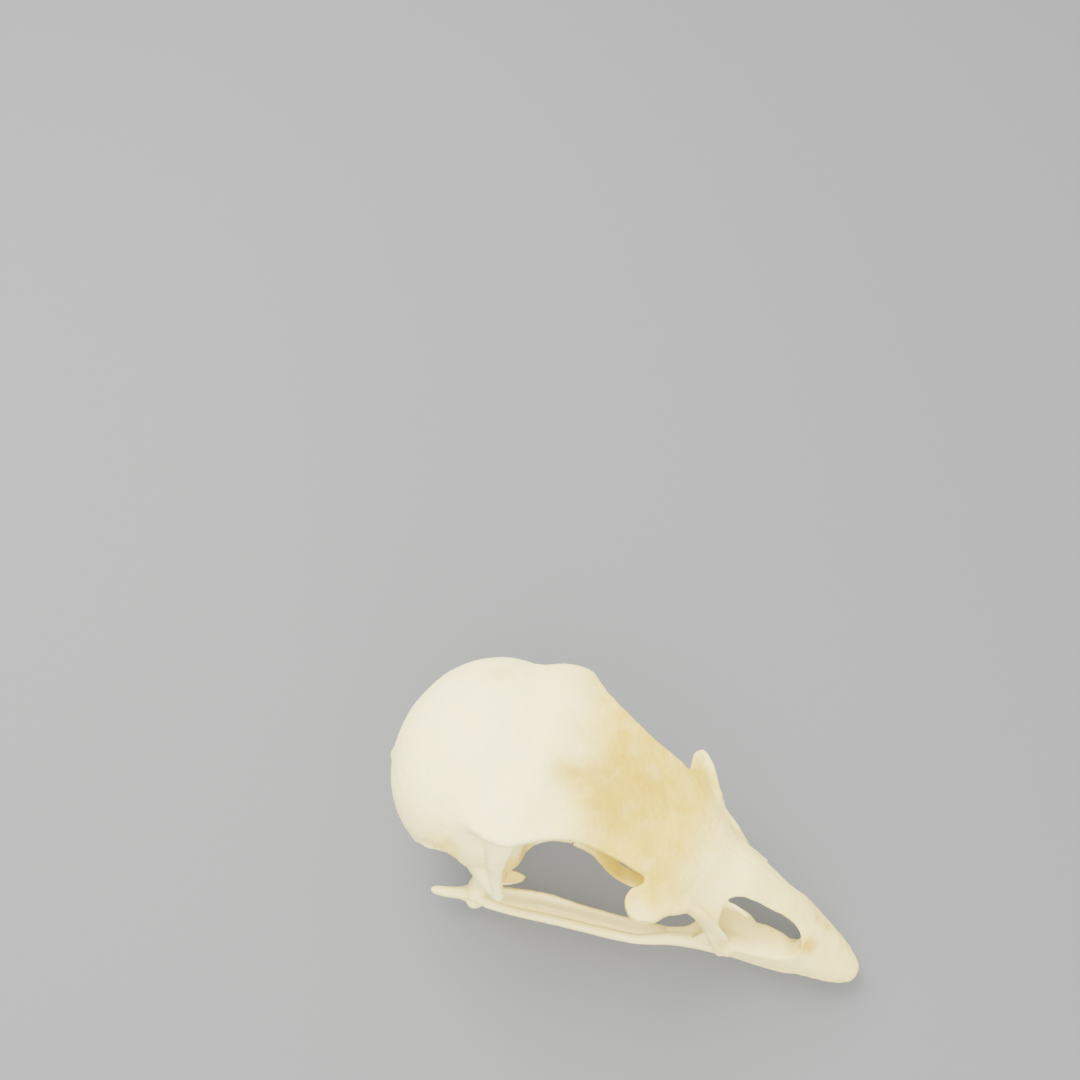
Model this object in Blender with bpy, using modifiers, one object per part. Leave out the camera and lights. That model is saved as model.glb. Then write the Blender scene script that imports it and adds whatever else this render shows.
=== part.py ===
"""Skull of a domestic hen with its lower jaw, life size, resting on the jaw.

Metres, +Z up, +X towards the bill tip, +Y the bird's left side.
Shapes are written in millimetres: station along the skull from the
occiput, distance from the mid plane, height above the ground. The mid
plane bows a little to the left, as in the specimen.
"""

import math

import bmesh
import bpy
import numpy as np
from mathutils import Euler, Vector

MM = 0.001
LENGTH = 73.0
VAULT_VOXEL = 0.4
VAULT_ROUNDS = 90
SKULL_VOXEL = 0.32
LOBE_ROUNDS = 32
JAW_VOXEL = 0.26
SKULL_TRIANGLES = 4580
JAW_TRIANGLES = 1250
GAP = 0.3

CASE_CENTRE = (15.8, 0.0, 20.8)
CASE_RADII = (13.4, 15.4, 12.8)
CASE_PITCH = -0.2
ORBIT_CENTRE = (34.2, 10.8, 18.5)
ORBIT_RADIUS = 10.3
SEPTUM_THICK = 1.2
BILL_WALL = 1.25
NASAL_LEAN = 0.1
NOSTRIL_REACH = 11.0
NOSTRIL_LIFT = 2.6
NOSTRIL_SLANT = 6.0
NOSTRIL_DROP = {1: 1.2, -1: 0.0}
NOSTRIL_SPAN = {1: 0.87, -1: 1.0}
FORAMEN_RADIUS = 2.9
FORAMEN_DEPTH = 9.0
JAW_REST_LEVEL = 0.0
MID_PLANE = -0.4
BOW = 0.8
BOW_START = 16.0
BOW_END = 66.0
LOBE_HEIGHT = 21.1
LOBE_DROOP = 0.55
LOBE_SLOPE = 0.32
LOBE_FALL = 0.58

# station, half width, edge height, middle height, thickness
ROOF_STATIONS = (
    (16.0, 12.4, 27.0, 31.6, 6.0),
    (18.5, 14.0, 27.8, 32.3, 5.6),
    (21.5, 15.0, 28.6, 32.5, 4.8),
    (24.5, 14.8, 28.6, 32.1, 3.2),
    (28.0, 12.3, 28.4, 31.0, 2.0),
    (32.0, 10.3, 28.1, 29.7, 1.8),
    (36.0, 9.3, 26.0, 27.4, 1.7),
    (40.0, 8.9, 23.9, 25.0, 1.7),
    (43.5, 8.8, 21.2, 22.9, 1.6),
    (46.5, 9.3, 18.7, 21.3, 1.5),
    (48.4, 8.4, 16.9, 20.1, 1.4),
    (49.6, 7.2, 16.0, 19.4, 1.3),
    (50.6, 5.6, 16.4, 18.9, 1.2),
)

# station, half width and height of the cutting edge, height of the ridge
BILL_STATIONS = (
    (50.9, 7.9, 4.5, 19.2),
    (52.6, 7.6, 4.4, 18.3),
    (56.0, 6.8, 4.2, 16.5),
    (60.0, 5.9, 3.9, 13.8),
    (64.0, 4.9, 3.5, 10.8),
    (68.0, 3.9, 3.0, 7.3),
    (70.6, 2.9, 2.5, 5.2),
    (72.2, 1.8, 2.2, 3.9),
    (73.0, 0.7, 2.3, 3.1),
)

NOSTRIL_OUTLINE = (
    (52.7, 12.4),
    (53.5, 13.7),
    (54.7, 14.1),
    (56.0, 13.85),
    (57.4, 13.4),
    (59.0, 12.7),
    (60.2, 12.3),
    (61.3, 11.7),
    (62.4, 11.0),
    (63.3, 10.2),
    (63.9, 9.3),
    (64.0, 8.0),
    (63.4, 7.0),
    (62.2, 6.2),
    (60.4, 5.6),
    (58.0, 5.3),
    (55.4, 5.4),
    (53.6, 7.2),
    (52.7, 10.0),
)

SEPTUM_OUTLINE = (
    (21.0, 27.0),
    (32.0, 27.6),
    (40.0, 23.4),
    (46.0, 19.6),
    (46.2, 16.4),
    (44.8, 12.6),
    (40.0, 11.0),
    (30.0, 10.7),
    (21.0, 10.5),
)

# station and distance from the mid plane, around each lobe seen from above
LACRIMAL_OUTLINES = {
    1: (
        (42.8, 7.0),
        (42.1, 8.9),
        (41.7, 11.4),
        (41.9, 12.8),
        (42.5, 13.7),
        (43.4, 13.6),
        (44.6, 12.4),
        (45.8, 11.2),
        (46.9, 9.5),
        (48.2, 7.6),
    ),
    -1: (
        (42.8, 7.0),
        (41.9, 9.4),
        (40.8, 10.7),
        (40.6, 11.9),
        (41.1, 12.8),
        (42.1, 13.4),
        (43.5, 13.2),
        (44.8, 12.5),
        (45.6, 11.6),
        (46.6, 10.5),
        (48.1, 9.3),
        (48.8, 7.4),
    ),
}

# station, side, height, half thickness across, half height
POSTORBITAL = (
    (23.2, 12.6, 27.0, 1.2, 2.6),
    (23.3, 13.9, 22.5, 1.0, 1.4),
    (23.2, 14.3, 18.0, 0.9, 1.0),
    (23.6, 14.8, 14.6, 0.8, 0.8),
    (23.9, 15.2, 12.2, 0.6, 0.6),
)
ZYGOMATIC = (
    (16.6, 11.2, 17.2, 1.4, 2.8),
    (19.6, 13.0, 15.6, 1.2, 2.3),
    (22.0, 14.3, 14.0, 1.0, 1.6),
    (24.2, 15.1, 12.6, 0.7, 0.9),
)
NASAL = (
    (47.6, 8.0, 17.3, 0.7, 1.2),
    (49.8, 7.3, 14.9, 0.7, 1.3),
    (51.4, 7.0, 12.2, 0.65, 1.4),
    (52.8, 6.8, 9.4, 0.65, 1.4),
    (53.3, 6.4, 7.2, 0.5, 0.8),
)
JUGAL = (
    (19.6, 13.9, 6.4, 0.9, 0.9),
    (22.0, 14.1, 6.1, 0.7, 0.7),
    (26.0, 13.7, 6.0, 0.7, 0.7),
    (32.0, 12.7, 6.0, 0.7, 0.7),
    (38.0, 11.7, 5.9, 0.7, 0.75),
    (43.0, 10.5, 5.7, 0.75, 0.85),
    (47.5, 8.3, 5.5, 0.9, 1.1),
    (52.0, 6.9, 5.4, 1.0, 1.1),
    (55.5, 6.3, 5.2, 0.9, 1.0),
)
PALATINE = (
    (29.6, 1.75, 8.6, 0.65, 0.6),
    (32.5, 1.7, 8.0, 0.75, 0.5),
    (35.0, 2.3, 7.8, 1.25, 0.45),
    (36.6, 3.05, 7.7, 1.2, 0.45),
    (38.6, 3.35, 7.6, 1.25, 0.45),
    (40.6, 3.3, 7.4, 1.2, 0.45),
    (43.0, 3.5, 7.1, 0.9, 0.45),
    (48.5, 3.6, 6.3, 0.75, 0.45),
    (54.0, 4.2, 5.5, 0.9, 0.5),
)
PTERYGOID = (
    (19.6, 9.0, 6.9, 1.0, 1.0),
    (22.4, 5.5, 8.0, 0.75, 0.8),
    (25.8, 2.6, 8.7, 0.7, 0.8),
    (29.4, 1.65, 8.8, 0.6, 0.65),
)
ROSTRUM = (
    (13.0, 0.0, 9.6, 3.4, 1.6),
    (18.0, 0.0, 9.7, 2.0, 1.3),
    (24.0, 0.0, 10.6, 1.1, 1.0),
    (32.0, 0.0, 11.0, 0.85, 0.95),
    (40.0, 0.0, 11.4, 0.8, 0.9),
    (45.0, 0.0, 12.9, 0.65, 0.8),
)
OTIC_PROCESS = (
    (20.1, 11.8, 8.2, 1.7, 1.7),
    (20.8, 12.1, 11.0, 1.2, 1.5),
    (20.5, 11.9, 13.4, 1.2, 1.4),
    (19.0, 11.3, 15.4, 1.2, 1.3),
)
ORBITAL_PROCESS = (
    (19.4, 11.6, 9.4, 1.2, 2.2),
    (21.6, 11.0, 9.2, 0.8, 2.6),
    (23.2, 10.6, 8.6, 0.6, 2.7),
    (23.9, 10.4, 7.6, 0.45, 2.3),
    (24.3, 10.3, 7.1, 0.35, 1.6),
)
SHELF = (
    (46.4, 8.0, 5.6, 0.9, 0.5),
    (49.8, 6.6, 5.6, 1.5, 0.6),
    (53.2, 4.4, 6.3, 3.6, 0.6),
    (55.5, 3.7, 6.8, 3.3, 0.55),
    (57.5, 3.7, 7.0, 2.3, 0.55),
    (59.5, 3.4, 7.2, 2.1, 0.55),
    (61.5, 3.1, 7.1, 1.8, 0.5),
    (63.3, 2.7, 6.3, 1.5, 0.6),
    (66.0, 1.6, 4.8, 2.4, 0.9),
)
FAR_SHELF = (
    (46.4, 8.0, 5.6, 0.9, 0.5),
    (50.2, 6.5, 5.6, 1.4, 0.6),
    (55.5, 4.9, 6.2, 1.9, 0.5),
    (60.0, 4.2, 6.2, 1.4, 0.5),
    (64.0, 3.0, 5.6, 1.2, 0.6),
    (66.0, 1.6, 4.8, 2.4, 0.9),
)
SILL = (
    (51.0, 6.4, 6.2, 1.2, 0.7),
    (53.5, 6.0, 6.7, 1.3, 0.8),
    (56.0, 5.4, 6.9, 1.4, 0.8),
    (59.0, 4.8, 6.8, 1.3, 0.7),
    (61.5, 4.2, 6.6, 1.1, 0.7),
    (63.2, 3.6, 6.2, 0.9, 0.7),
)
CHEEK_PLATE = (
    (50.3, 7.5, 6.2, 0.4, 0.6),
    (51.4, 7.2, 6.8, 0.4, 1.4),
    (52.4, 7.0, 7.4, 0.45, 2.0),
    (53.6, 6.85, 7.0, 0.45, 1.9),
)
RAMUS = (
    (12.8, 14.3, 3.4, 0.45, 0.5),
    (13.8, 14.1, 3.45, 0.65, 0.8),
    (15.4, 13.7, 3.55, 0.75, 0.9),
    (17.0, 13.1, 3.4, 0.9, 1.1),
    (18.8, 12.2, 2.7, 1.4, 1.7),
    (22.0, 11.3, 3.0, 1.0, 2.3),
    (28.0, 10.1, 3.4, 0.75, 3.0),
    (34.0, 9.2, 3.0, 0.7, 2.5),
    (40.0, 8.1, 2.6, 0.7, 1.9),
    (46.0, 6.7, 2.2, 0.75, 1.55),
    (52.0, 5.4, 2.0, 0.8, 1.35),
    (58.0, 4.6, 1.8, 0.75, 1.2),
    (61.0, 4.2, 1.6, 0.6, 1.0),
    (63.6, 3.5, 1.4, 0.65, 0.9),
    (66.5, 1.6, 1.3, 1.3, 1.0),
)
RAMUS_KEEL = (
    (20.5, 11.9, 2.0, 0.8, 1.2),
    (24.0, 11.7, 1.6, 0.8, 1.1),
    (30.0, 10.7, 1.6, 0.8, 1.0),
    (37.0, 9.4, 1.6, 0.8, 0.9),
    (44.0, 7.6, 1.7, 0.7, 0.8),
    (50.0, 5.8, 1.7, 0.6, 0.7),
)
# station, half width, bottom and top height of the jaw's front
SCOOP = (
    (64.4, 2.9, 0.5, 1.5),
    (65.6, 3.1, -0.2, 2.0),
    (67.0, 2.8, -0.2, 2.2),
    (68.8, 2.3, 0.6, 2.1),
    (70.4, 1.2, 1.0, 1.8),
)

# a point inside each piece, by which the cut pieces are named
SKULL_LABELS = {
    "braincase": (8.0, 0.0, 30.0),
    "frontal": (36.0, 0.0, 27.0),
    "septum": (38.0, 0.0, 16.0),
    "upper_bill": (66.0, 0.0, 9.5),
}
SKULL_PAIRS = {
    "lacrimal": (43.2, 12.8, 19.4),
    "jugal": (32.0, 12.7, 6.0),
    "quadrate": (19.8, 11.8, 9.0),
    "pterygoid": (24.6, 3.6, 8.5),
    "palatine": (38.0, 3.1, 7.8),
}
JAW_LABELS = {"jaw_tip": (68.0, 0.0, 1.4)}
JAW_PAIRS = {"jaw_branch": (34.0, 9.0, 2.9)}


def bow(station):
    """How far the mid line of this skull lies to the left."""
    share = np.clip((station - BOW_START) / (BOW_END - BOW_START), 0.0, 1.15)
    return BOW * np.sin(np.pi * share)


def at(station, side, height):
    across = MID_PLANE + side + float(bow(station))
    return Vector(((station - LENGTH / 2) * MM, across * MM, height * MM))


def clear_scene():
    for found in list(bpy.data.objects):
        bpy.data.objects.remove(found, do_unlink=True)
    for found in list(bpy.data.collections):
        bpy.data.collections.remove(found)


def collection(name):
    made = bpy.data.collections.new(name)
    bpy.context.scene.collection.children.link(made)
    return made


def object_of(name, mesh, group):
    made = bpy.data.objects.new(name, mesh)
    group.objects.link(made)
    return made


def cutter_look(item):
    item.hide_render = True
    item.display_type = "WIRE"
    return item


def closed(name, points, faces, group):
    """A closed mesh of the points, its faces turned outwards."""
    mesh = bpy.data.meshes.new(name)
    mesh.from_pydata(points, [], faces)
    shape = bmesh.new()
    shape.from_mesh(mesh)
    bmesh.ops.recalc_face_normals(shape, faces=shape.faces)
    shape.to_mesh(mesh)
    shape.free()
    return cutter_look(object_of(name, mesh, group))


def loft(name, rings, group):
    """A solid through rings of equal count, closed by a face at each end."""
    count = len(rings[0])
    points = [at(*point) for ring in rings for point in ring]
    faces = []
    for i in range(len(rings) - 1):
        for j in range(count):
            k = (j + 1) % count
            low, high = i * count, (i + 1) * count
            faces.append((low + j, low + k, high + k, high + j))
    faces.append(tuple(range(count)))
    faces.append(tuple(range(len(points) - count, len(points))))
    return closed(name, points, faces, group)


def between(before, start, end, after, part):
    """The point of a smooth curve between start and end."""
    a = 2 * start
    b = end - before
    c = 2 * before - 5 * start + 4 * end - after
    d = 3 * start - before - 3 * end + after
    return 0.5 * (a + b * part + c * part**2 + d * part**3)


def smooth(rows, steps, loop=False):
    """The rows with steps rows from each to the next, along a smooth curve."""
    count = len(rows)
    last = count if loop else count - 1
    made = []
    for i in range(last):
        around = [i - 1, i, i + 1, i + 2]
        if loop:
            around = [k % count for k in around]
        else:
            around = [min(max(k, 0), count - 1) for k in around]
        four = [rows[k] for k in around]
        for step in range(steps):
            part = step / steps
            made.append(tuple(between(*values, part) for values in zip(*four)))
    if not loop:
        made.append(tuple(rows[-1]))
    return made


def bar(name, rows, side, group, upright=False, steps=3, sides=14):
    """A rounded bar along rows of station, side, height and two half sizes."""
    path = smooth([(s, y * side, z, w, h) for s, y, z, w, h in rows], steps)
    rings = []
    for i, (s, y, z, wide, high) in enumerate(path):
        ahead = Vector(path[min(i + 1, len(path) - 1)][:3])
        behind = Vector(path[max(i - 1, 0)][:3])
        along = (ahead - behind).normalized()
        across = along.cross(Vector((0, 0, 1)))
        if upright:
            across = Vector((0, 1, 0)) - along * along.y
        across.normalize()
        up = across.cross(along)
        ring = []
        for j in range(sides):
            turn = 2 * math.pi * j / sides
            push = across * (wide * math.cos(turn)) + up * (high * math.sin(turn))
            ring.append(tuple(Vector((s, y, z)) + push))
        rings.append(ring)
    return loft(name, rings, group)


def ball(name, centre, radii, group, pitch=0.0):
    shape = bmesh.new()
    bmesh.ops.create_icosphere(shape, subdivisions=4, radius=1.0)
    turn = Euler((0.0, pitch, 0.0)).to_matrix()
    for vertex in shape.verts:
        sized = Vector([a * b * MM for a, b in zip(vertex.co, radii)])
        vertex.co = turn @ sized + at(*centre)
    mesh = bpy.data.meshes.new(name)
    shape.to_mesh(mesh)
    shape.free()
    return cutter_look(object_of(name, mesh, group))


def box(name, centre, size, group, pitch=0.0, yaw=0.0):
    shape = bmesh.new()
    bmesh.ops.create_cube(shape, size=1.0)
    turn = Euler((0.0, pitch, yaw)).to_matrix()
    for vertex in shape.verts:
        sized = Vector([a * b * MM for a, b in zip(vertex.co, size)])
        vertex.co = turn @ sized + at(*centre)
    mesh = bpy.data.meshes.new(name)
    shape.to_mesh(mesh)
    shape.free()
    return cutter_look(object_of(name, mesh, group))


def panel(name, outline, thick, group, steps=3):
    """An upright plate on the mid plane, from its outline seen from the side."""
    edge = smooth(outline, steps, loop=True)
    rings = [[(s, y, z) for s, z in edge] for y in (-thick / 2, thick / 2)]
    return loft(name, rings, group)


def settle(item):
    """Replaces the object's mesh with the outcome of its modifiers."""
    graph = bpy.context.evaluated_depsgraph_get()
    mesh = bpy.data.meshes.new_from_object(item.evaluated_get(graph))
    item.modifiers.clear()
    item.data = mesh
    return item


def cut(item, cutters):
    for cutter in cutters:
        step = item.modifiers.new(cutter.name, "BOOLEAN")
        step.operation = "DIFFERENCE"
        step.solver = "EXACT"
        step.object = cutter
    return settle(item)


def fuse(name, pieces, voxel, rounds, group):
    """One seamless solid of overlapping pieces, lightly rounded."""
    shape = bmesh.new()
    for piece in pieces:
        shape.from_mesh(piece.data)
    mesh = bpy.data.meshes.new(name)
    shape.to_mesh(mesh)
    shape.free()
    made = object_of(name, mesh, group)
    grid = made.modifiers.new("Grid", "REMESH")
    grid.mode = "VOXEL"
    grid.voxel_size = voxel * MM
    ease = made.modifiers.new("Ease", "SMOOTH")
    ease.factor = 0.5
    ease.iterations = rounds
    return settle(made)


def thin_out(item, triangles):
    """Fewer faces, keeping the form."""
    now = sum(len(face.vertices) - 2 for face in item.data.polygons)
    fewer = item.modifiers.new("Fewer", "DECIMATE")
    fewer.ratio = min(1.0, triangles / now)
    fewer.use_collapse_triangulate = True
    return settle(item)


def braincase_forms(group):
    """The case with its orbits and ear recesses, and a web behind each orbit."""
    hollows = []
    webs = []
    for side in (1, -1):
        s, y, z = ORBIT_CENTRE
        hollows.append(ball(f"orbit{side}", (s, y * side, z), (ORBIT_RADIUS,) * 3, group))
        hollows.append(ball(f"drum{side}", (18.8, 12.4 * side, 8.4), (7.8, 5.6, 5.0), group))
        hollows.append(ball(f"flank{side}", (15.6, 19.9 * side, 12.0), (7.0, 8.0, 8.0), group))
        hollows.append(ball(f"ear_room{side}", (14.9, 17.6 * side, 17.8), (4.6, 5.4, 4.4), group))
        web = ball(f"web{side}", (21.4, 9.9 * side, 18.7), (4.2, 4.2, 6.1), group)
        socket = ball(f"web_orbit{side}", (s, y * side, z), (ORBIT_RADIUS - 1.4,) * 3, group)
        temple = ball(f"temple{side}", (22.0, 17.0 * side, 18.5), (1.3, 3.4, 5.0), group)
        cheek = ball(f"cheek{side}", (26.2, 15.2 * side, 16.5), (1.9, 2.6, 5.5), group)
        webs.append(cut(web, [socket, temple, cheek]))
    case = ball("case", CASE_CENTRE, CASE_RADII, group, pitch=CASE_PITCH)
    return [cut(case, hollows)] + webs


def hind_forms(group):
    return [
        ball("base", (11.0, 0.0, 10.9), (8.0, 8.4, 3.0), group),
        ball("neck", (5.4, 0.0, 13.8), (4.0, 5.8, 4.8), group),
        ball("condyle", (1.7, 0.0, 11.1), (1.7, 1.5, 1.2), group),
    ]


def side_forms(side, group):
    """The braincase's processes and the bones beside and under it."""
    forms = []
    forms.append(ball("wing", (9.4, 8.7 * side, 12.6), (3.3, 2.2, 3.9), group))
    forms.append(ball("socket", (17.4, 10.4 * side, 15.6), (2.6, 2.0, 2.2), group))
    forms.append(ball("fossa", (21.9, 12.8 * side, 15.0), (2.2, 1.5, 2.4), group))
    forms.append(bar("postorbital", POSTORBITAL, side, group, upright=True))
    forms.append(bar("zygomatic", ZYGOMATIC, side, group))
    forms.append(bar("jugal", JUGAL, side, group))
    forms.append(bar("palatine", PALATINE, side, group))
    forms.append(bar("pterygoid", PTERYGOID, side, group))
    forms.append(bar("otic", OTIC_PROCESS, side, group, upright=True))
    forms.append(bar("orbital", ORBITAL_PROCESS, side, group))
    forms.append(ball("foot_out", (19.6, 13.3 * side, 6.4), (1.4, 1.5, 1.4), group))
    forms.append(ball("foot_in", (19.2, 9.4 * side, 6.6), (1.4, 1.4, 1.4), group))
    forms.append(ball("foot", (19.8, 11.4 * side, 7.3), (1.5, 2.4, 1.4), group))
    forms.append(bar("shelf", SHELF if side < 0 else FAR_SHELF, side, group))
    forms.append(bar("sill", SILL, side, group))
    forms.append(bar("cheek_plate", CHEEK_PLATE, side, group, upright=True))
    nasal = [(s, y - 0.35 - 0.35 * side, z, w, h) for s, y, z, w, h in NASAL]
    forms.append(bar("nasal", nasal, side, group, upright=True))
    forms.append(lacrimal_form(side, group))
    return forms


def roof_form(group):
    rings = []
    for s, wide, edge, middle, thick in smooth(ROOF_STATIONS, 3):
        top, under = [], []
        narrow = 0.97 - 0.018 * max(0.0, 27.0 - s)
        for j in range(13):
            share = -1 + 2 * j / 12
            z = middle + (edge - middle) * abs(share) ** 2.2
            rim = thick * (1 - 0.35 * abs(share))
            top.append((s, wide * share, z))
            under.append((s, wide * share * narrow, z - rim))
        rings.append(top + under[::-1])
    return loft("roof", rings, group)


def septum_form(group):
    plate = panel("septum_plate", SEPTUM_OUTLINE, SEPTUM_THICK, group)
    window = ball("septum_window", (30.2, 0.0, 16.6), (2.3, 6.0, 3.2), group, 0.35)
    cut(plate, [window])
    forms = [plate, bar("rostrum", ROSTRUM, 1, group)]
    forms.append(ball("ethmoid", (42.0, 0.0, 17.6), (1.2, 5.0, 3.6), group))
    return forms


def lacrimal_form(side, group):
    edge = smooth(LACRIMAL_OUTLINES[side], 2, loop=True)
    rings = []
    for lift in (-0.7, 0.7):
        ring = []
        for s, y in edge:
            z = LOBE_HEIGHT - LOBE_DROOP * max(y - 9.0, 0.0) - LOBE_SLOPE * (s - 43.5)
            z -= LOBE_FALL * max(s - 44.5, 0.0)
            ring.append((s, y * side, z + lift))
        rings.append(ring)
    return loft("lacrimal_lobe", rings, group)


def arch(s, wide, low, high, floor, count=18):
    """One section of the bill, an arch and a floor, leaning near the nasals."""
    lean = NASAL_LEAN * max(0.0, 55.0 - s)
    near = min(max(0.0, 55.0 - s), 4.0)
    full = 0.045 * near
    ring = []
    for j in range(count + 1):
        turn = math.pi * j / count
        power = 0.8 if turn < math.pi / 2 else 0.8 - full
        reach = wide - 0.12 * near if turn < math.pi / 2 else wide
        y = reach * math.copysign(abs(math.cos(turn)) ** power, math.cos(turn))
        z = low + (high - low) * abs(math.sin(turn)) ** power
        ring.append((s + lean * (12.0 - z), y, z))
    for j in range(1, 6):
        share = -1 + 2 * j / 6
        z = low - floor * (1 - share**2)
        ring.append((s + lean * (12.0 - z), wide * share, z))
    return ring


def bill_form(group):
    return loft("bill", [arch(*row, -0.6) for row in smooth(BILL_STATIONS, 3)], group)


def bill_openings(group):
    """The room inside the bill and the two nostrils."""
    rooms = []
    for s, wide, low, high in smooth(BILL_STATIONS[:5], 3):
        tight = 1.0 + max(0.0, s - 60.0) * 0.35
        wide, high = wide - BILL_WALL * tight, high - BILL_WALL * tight
        rooms.append(arch(s, max(wide, 0.6), low - 0.6, max(high, low + 0.6), 0.0))
    rooms.insert(0, [(47.0, y, z) for _, y, z in rooms[0]])
    room = loft("bill_room", rooms, group)
    edge = smooth(NOSTRIL_OUTLINE, 3, loop=True)
    nostrils = []
    for side in (1, -1):
        drop, span = NOSTRIL_DROP[side], NOSTRIL_SPAN[side]
        inner, outer = [], []
        for s, z in edge:
            s = 53.0 + (s - 53.0) * span
            high = min(max((z - 8.0) / 5.0, 0.0), 1.0)
            lift = NOSTRIL_LIFT + NOSTRIL_SLANT * high * high * (3.0 - 2.0 * high)
            z -= drop * min(max((z - 8.0) / 2.0, 0.0), 1.0)
            inner.append((s, 0.4 * side, z))
            outer.append((s, NOSTRIL_REACH * side, z + lift))
        nostrils.append(loft(f"nostril{side}", [inner, outer], group))
    return [room] + nostrils


def places(item):
    """Station, side and height of each vertex, in millimetres."""
    flat = np.empty(len(item.data.vertices) * 3)
    item.data.vertices.foreach_get("co", flat)
    spots = flat.reshape(-1, 3) / MM
    spots[:, 0] += LENGTH / 2
    spots[:, 1] -= MID_PLANE + bow(spots[:, 0])
    return spots


def ramp(values, low, high):
    """0 below low, 1 above high and a smooth step between."""
    share = np.clip((values - low) / (high - low), 0.0, 1.0)
    return share * share * (3.0 - 2.0 * share)


def melt(item, weights, rounds):
    """Smooths the surface where the weights are high."""
    group = item.vertex_groups.new(name="melt")
    steps = np.round(weights * 20).astype(int)
    for step in range(1, 21):
        chosen = np.flatnonzero(steps == step)
        if len(chosen):
            group.add(chosen.tolist(), step / 20, "REPLACE")
    ease = item.modifiers.new("Melt", "SMOOTH")
    ease.factor = 0.5
    ease.iterations = rounds
    ease.vertex_group = "melt"
    settle(item)
    item.vertex_groups.clear()
    return item


def vault_form(group):
    """The braincase, the roof and the bill, run into one another."""
    forms = braincase_forms(group) + [roof_form(group), bill_form(group)]
    vault = cutter_look(fuse("vault", forms, VAULT_VOXEL, 1, group))
    spots = places(vault)
    s, side, z = spots[:, 0], np.abs(spots[:, 1]), spots[:, 2]
    back = (1.0 - ramp(s, 21.0, 25.5)) * ramp(z, 22.0, 25.0)
    top = (1.0 - ramp(side, 4.0, 9.0)) * ramp(z + 0.5 * s, 42.5, 44.5)
    top = top * (1.0 - ramp(s, 38.0, 46.0))
    hinge = ramp(s, 44.5, 48.0) * (1.0 - ramp(s, 52.0, 55.0)) * ramp(z + 0.5 * s, 36.0, 39.0)
    melt(vault, np.maximum(np.maximum(back, top), hinge), VAULT_ROUNDS)
    return cut(vault, bill_openings(group))


def skull_form(group):
    pieces = [vault_form(group)]
    pieces.extend(hind_forms(group))
    pieces.extend(septum_form(group))
    for side in (1, -1):
        pieces.extend(side_forms(side, group))
    whole = fuse("skull_whole", pieces, SKULL_VOXEL, 2, group)
    spots = places(whole)
    s, side, z = spots[:, 0], np.abs(spots[:, 1]), spots[:, 2]
    lobe = ramp(s, 41.0, 42.5) * (1.0 - ramp(s, 49.0, 51.0)) * ramp(z, 15.0, 17.0)
    melt(whole, lobe * ramp(side, 5.5, 7.5) * (1.0 - ramp(side, 10.8, 12.2)), LOBE_ROUNDS)
    foramen = (
        (-2.0, 0.0, 15.0, FORAMEN_RADIUS, FORAMEN_RADIUS * 1.1),
        (3.0, 0.0, 15.3, FORAMEN_RADIUS, FORAMEN_RADIUS * 1.1),
        (FORAMEN_DEPTH, 0.0, 17.0, 2.0, 2.0),
    )
    openings = [bar("foramen", foramen, 1, group)]
    for side in (1, -1):
        openings.append(ball(f"ear{side}", (14.8, 12.4 * side, 15.4), (1.6, 2.8, 1.1), group))
    return cut(thin_out(whole, SKULL_TRIANGLES), openings)


def skull_partings(group):
    """Thin slabs that part the skull where its bones meet."""
    slabs = [
        box("part_case", (28.4, 0.0, 24.6), (GAP, 40.0, 29.9), group),
        box("part_hinge", (47.9, 0.0, 22.0), (GAP, 30.0, 30.0), group),
        box("part_roof", (37.0, 0.0, 23.2), (24.0, 12.0, GAP), group, pitch=0.44),
    ]
    for side in (1, -1):
        rows = (
            ("part_lobe", (44.6, 9.3, 21.0), (9.0, GAP, 9.0), 0.1),
            ("part_cheek", (47.9, 8.3, 5.5), (GAP, 5.0, 2.9), 0.0),
            ("part_joint", (21.2, 13.9, 6.3), (GAP, 3.6, 4.4), 0.0),
            ("part_otic", (21.2, 11.8, 12.2), (7.2, 4.6, GAP), 0.0),
            ("part_foot", (20.5, 8.4, 7.1), (GAP, 3.4, 3.4), -0.65),
            ("part_palate", (30.3, 1.9, 8.4), (GAP, 2.4, 2.0), 0.0),
            ("part_front", (49.4, 3.9, 6.1), (GAP, 3.2, 2.2), 0.0),
        )
        for name, (s, y, z), size, yaw in rows:
            slabs.append(box(f"{name}{side}", (s, y * side, z), size, group, yaw=yaw * side))
    return slabs


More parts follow.
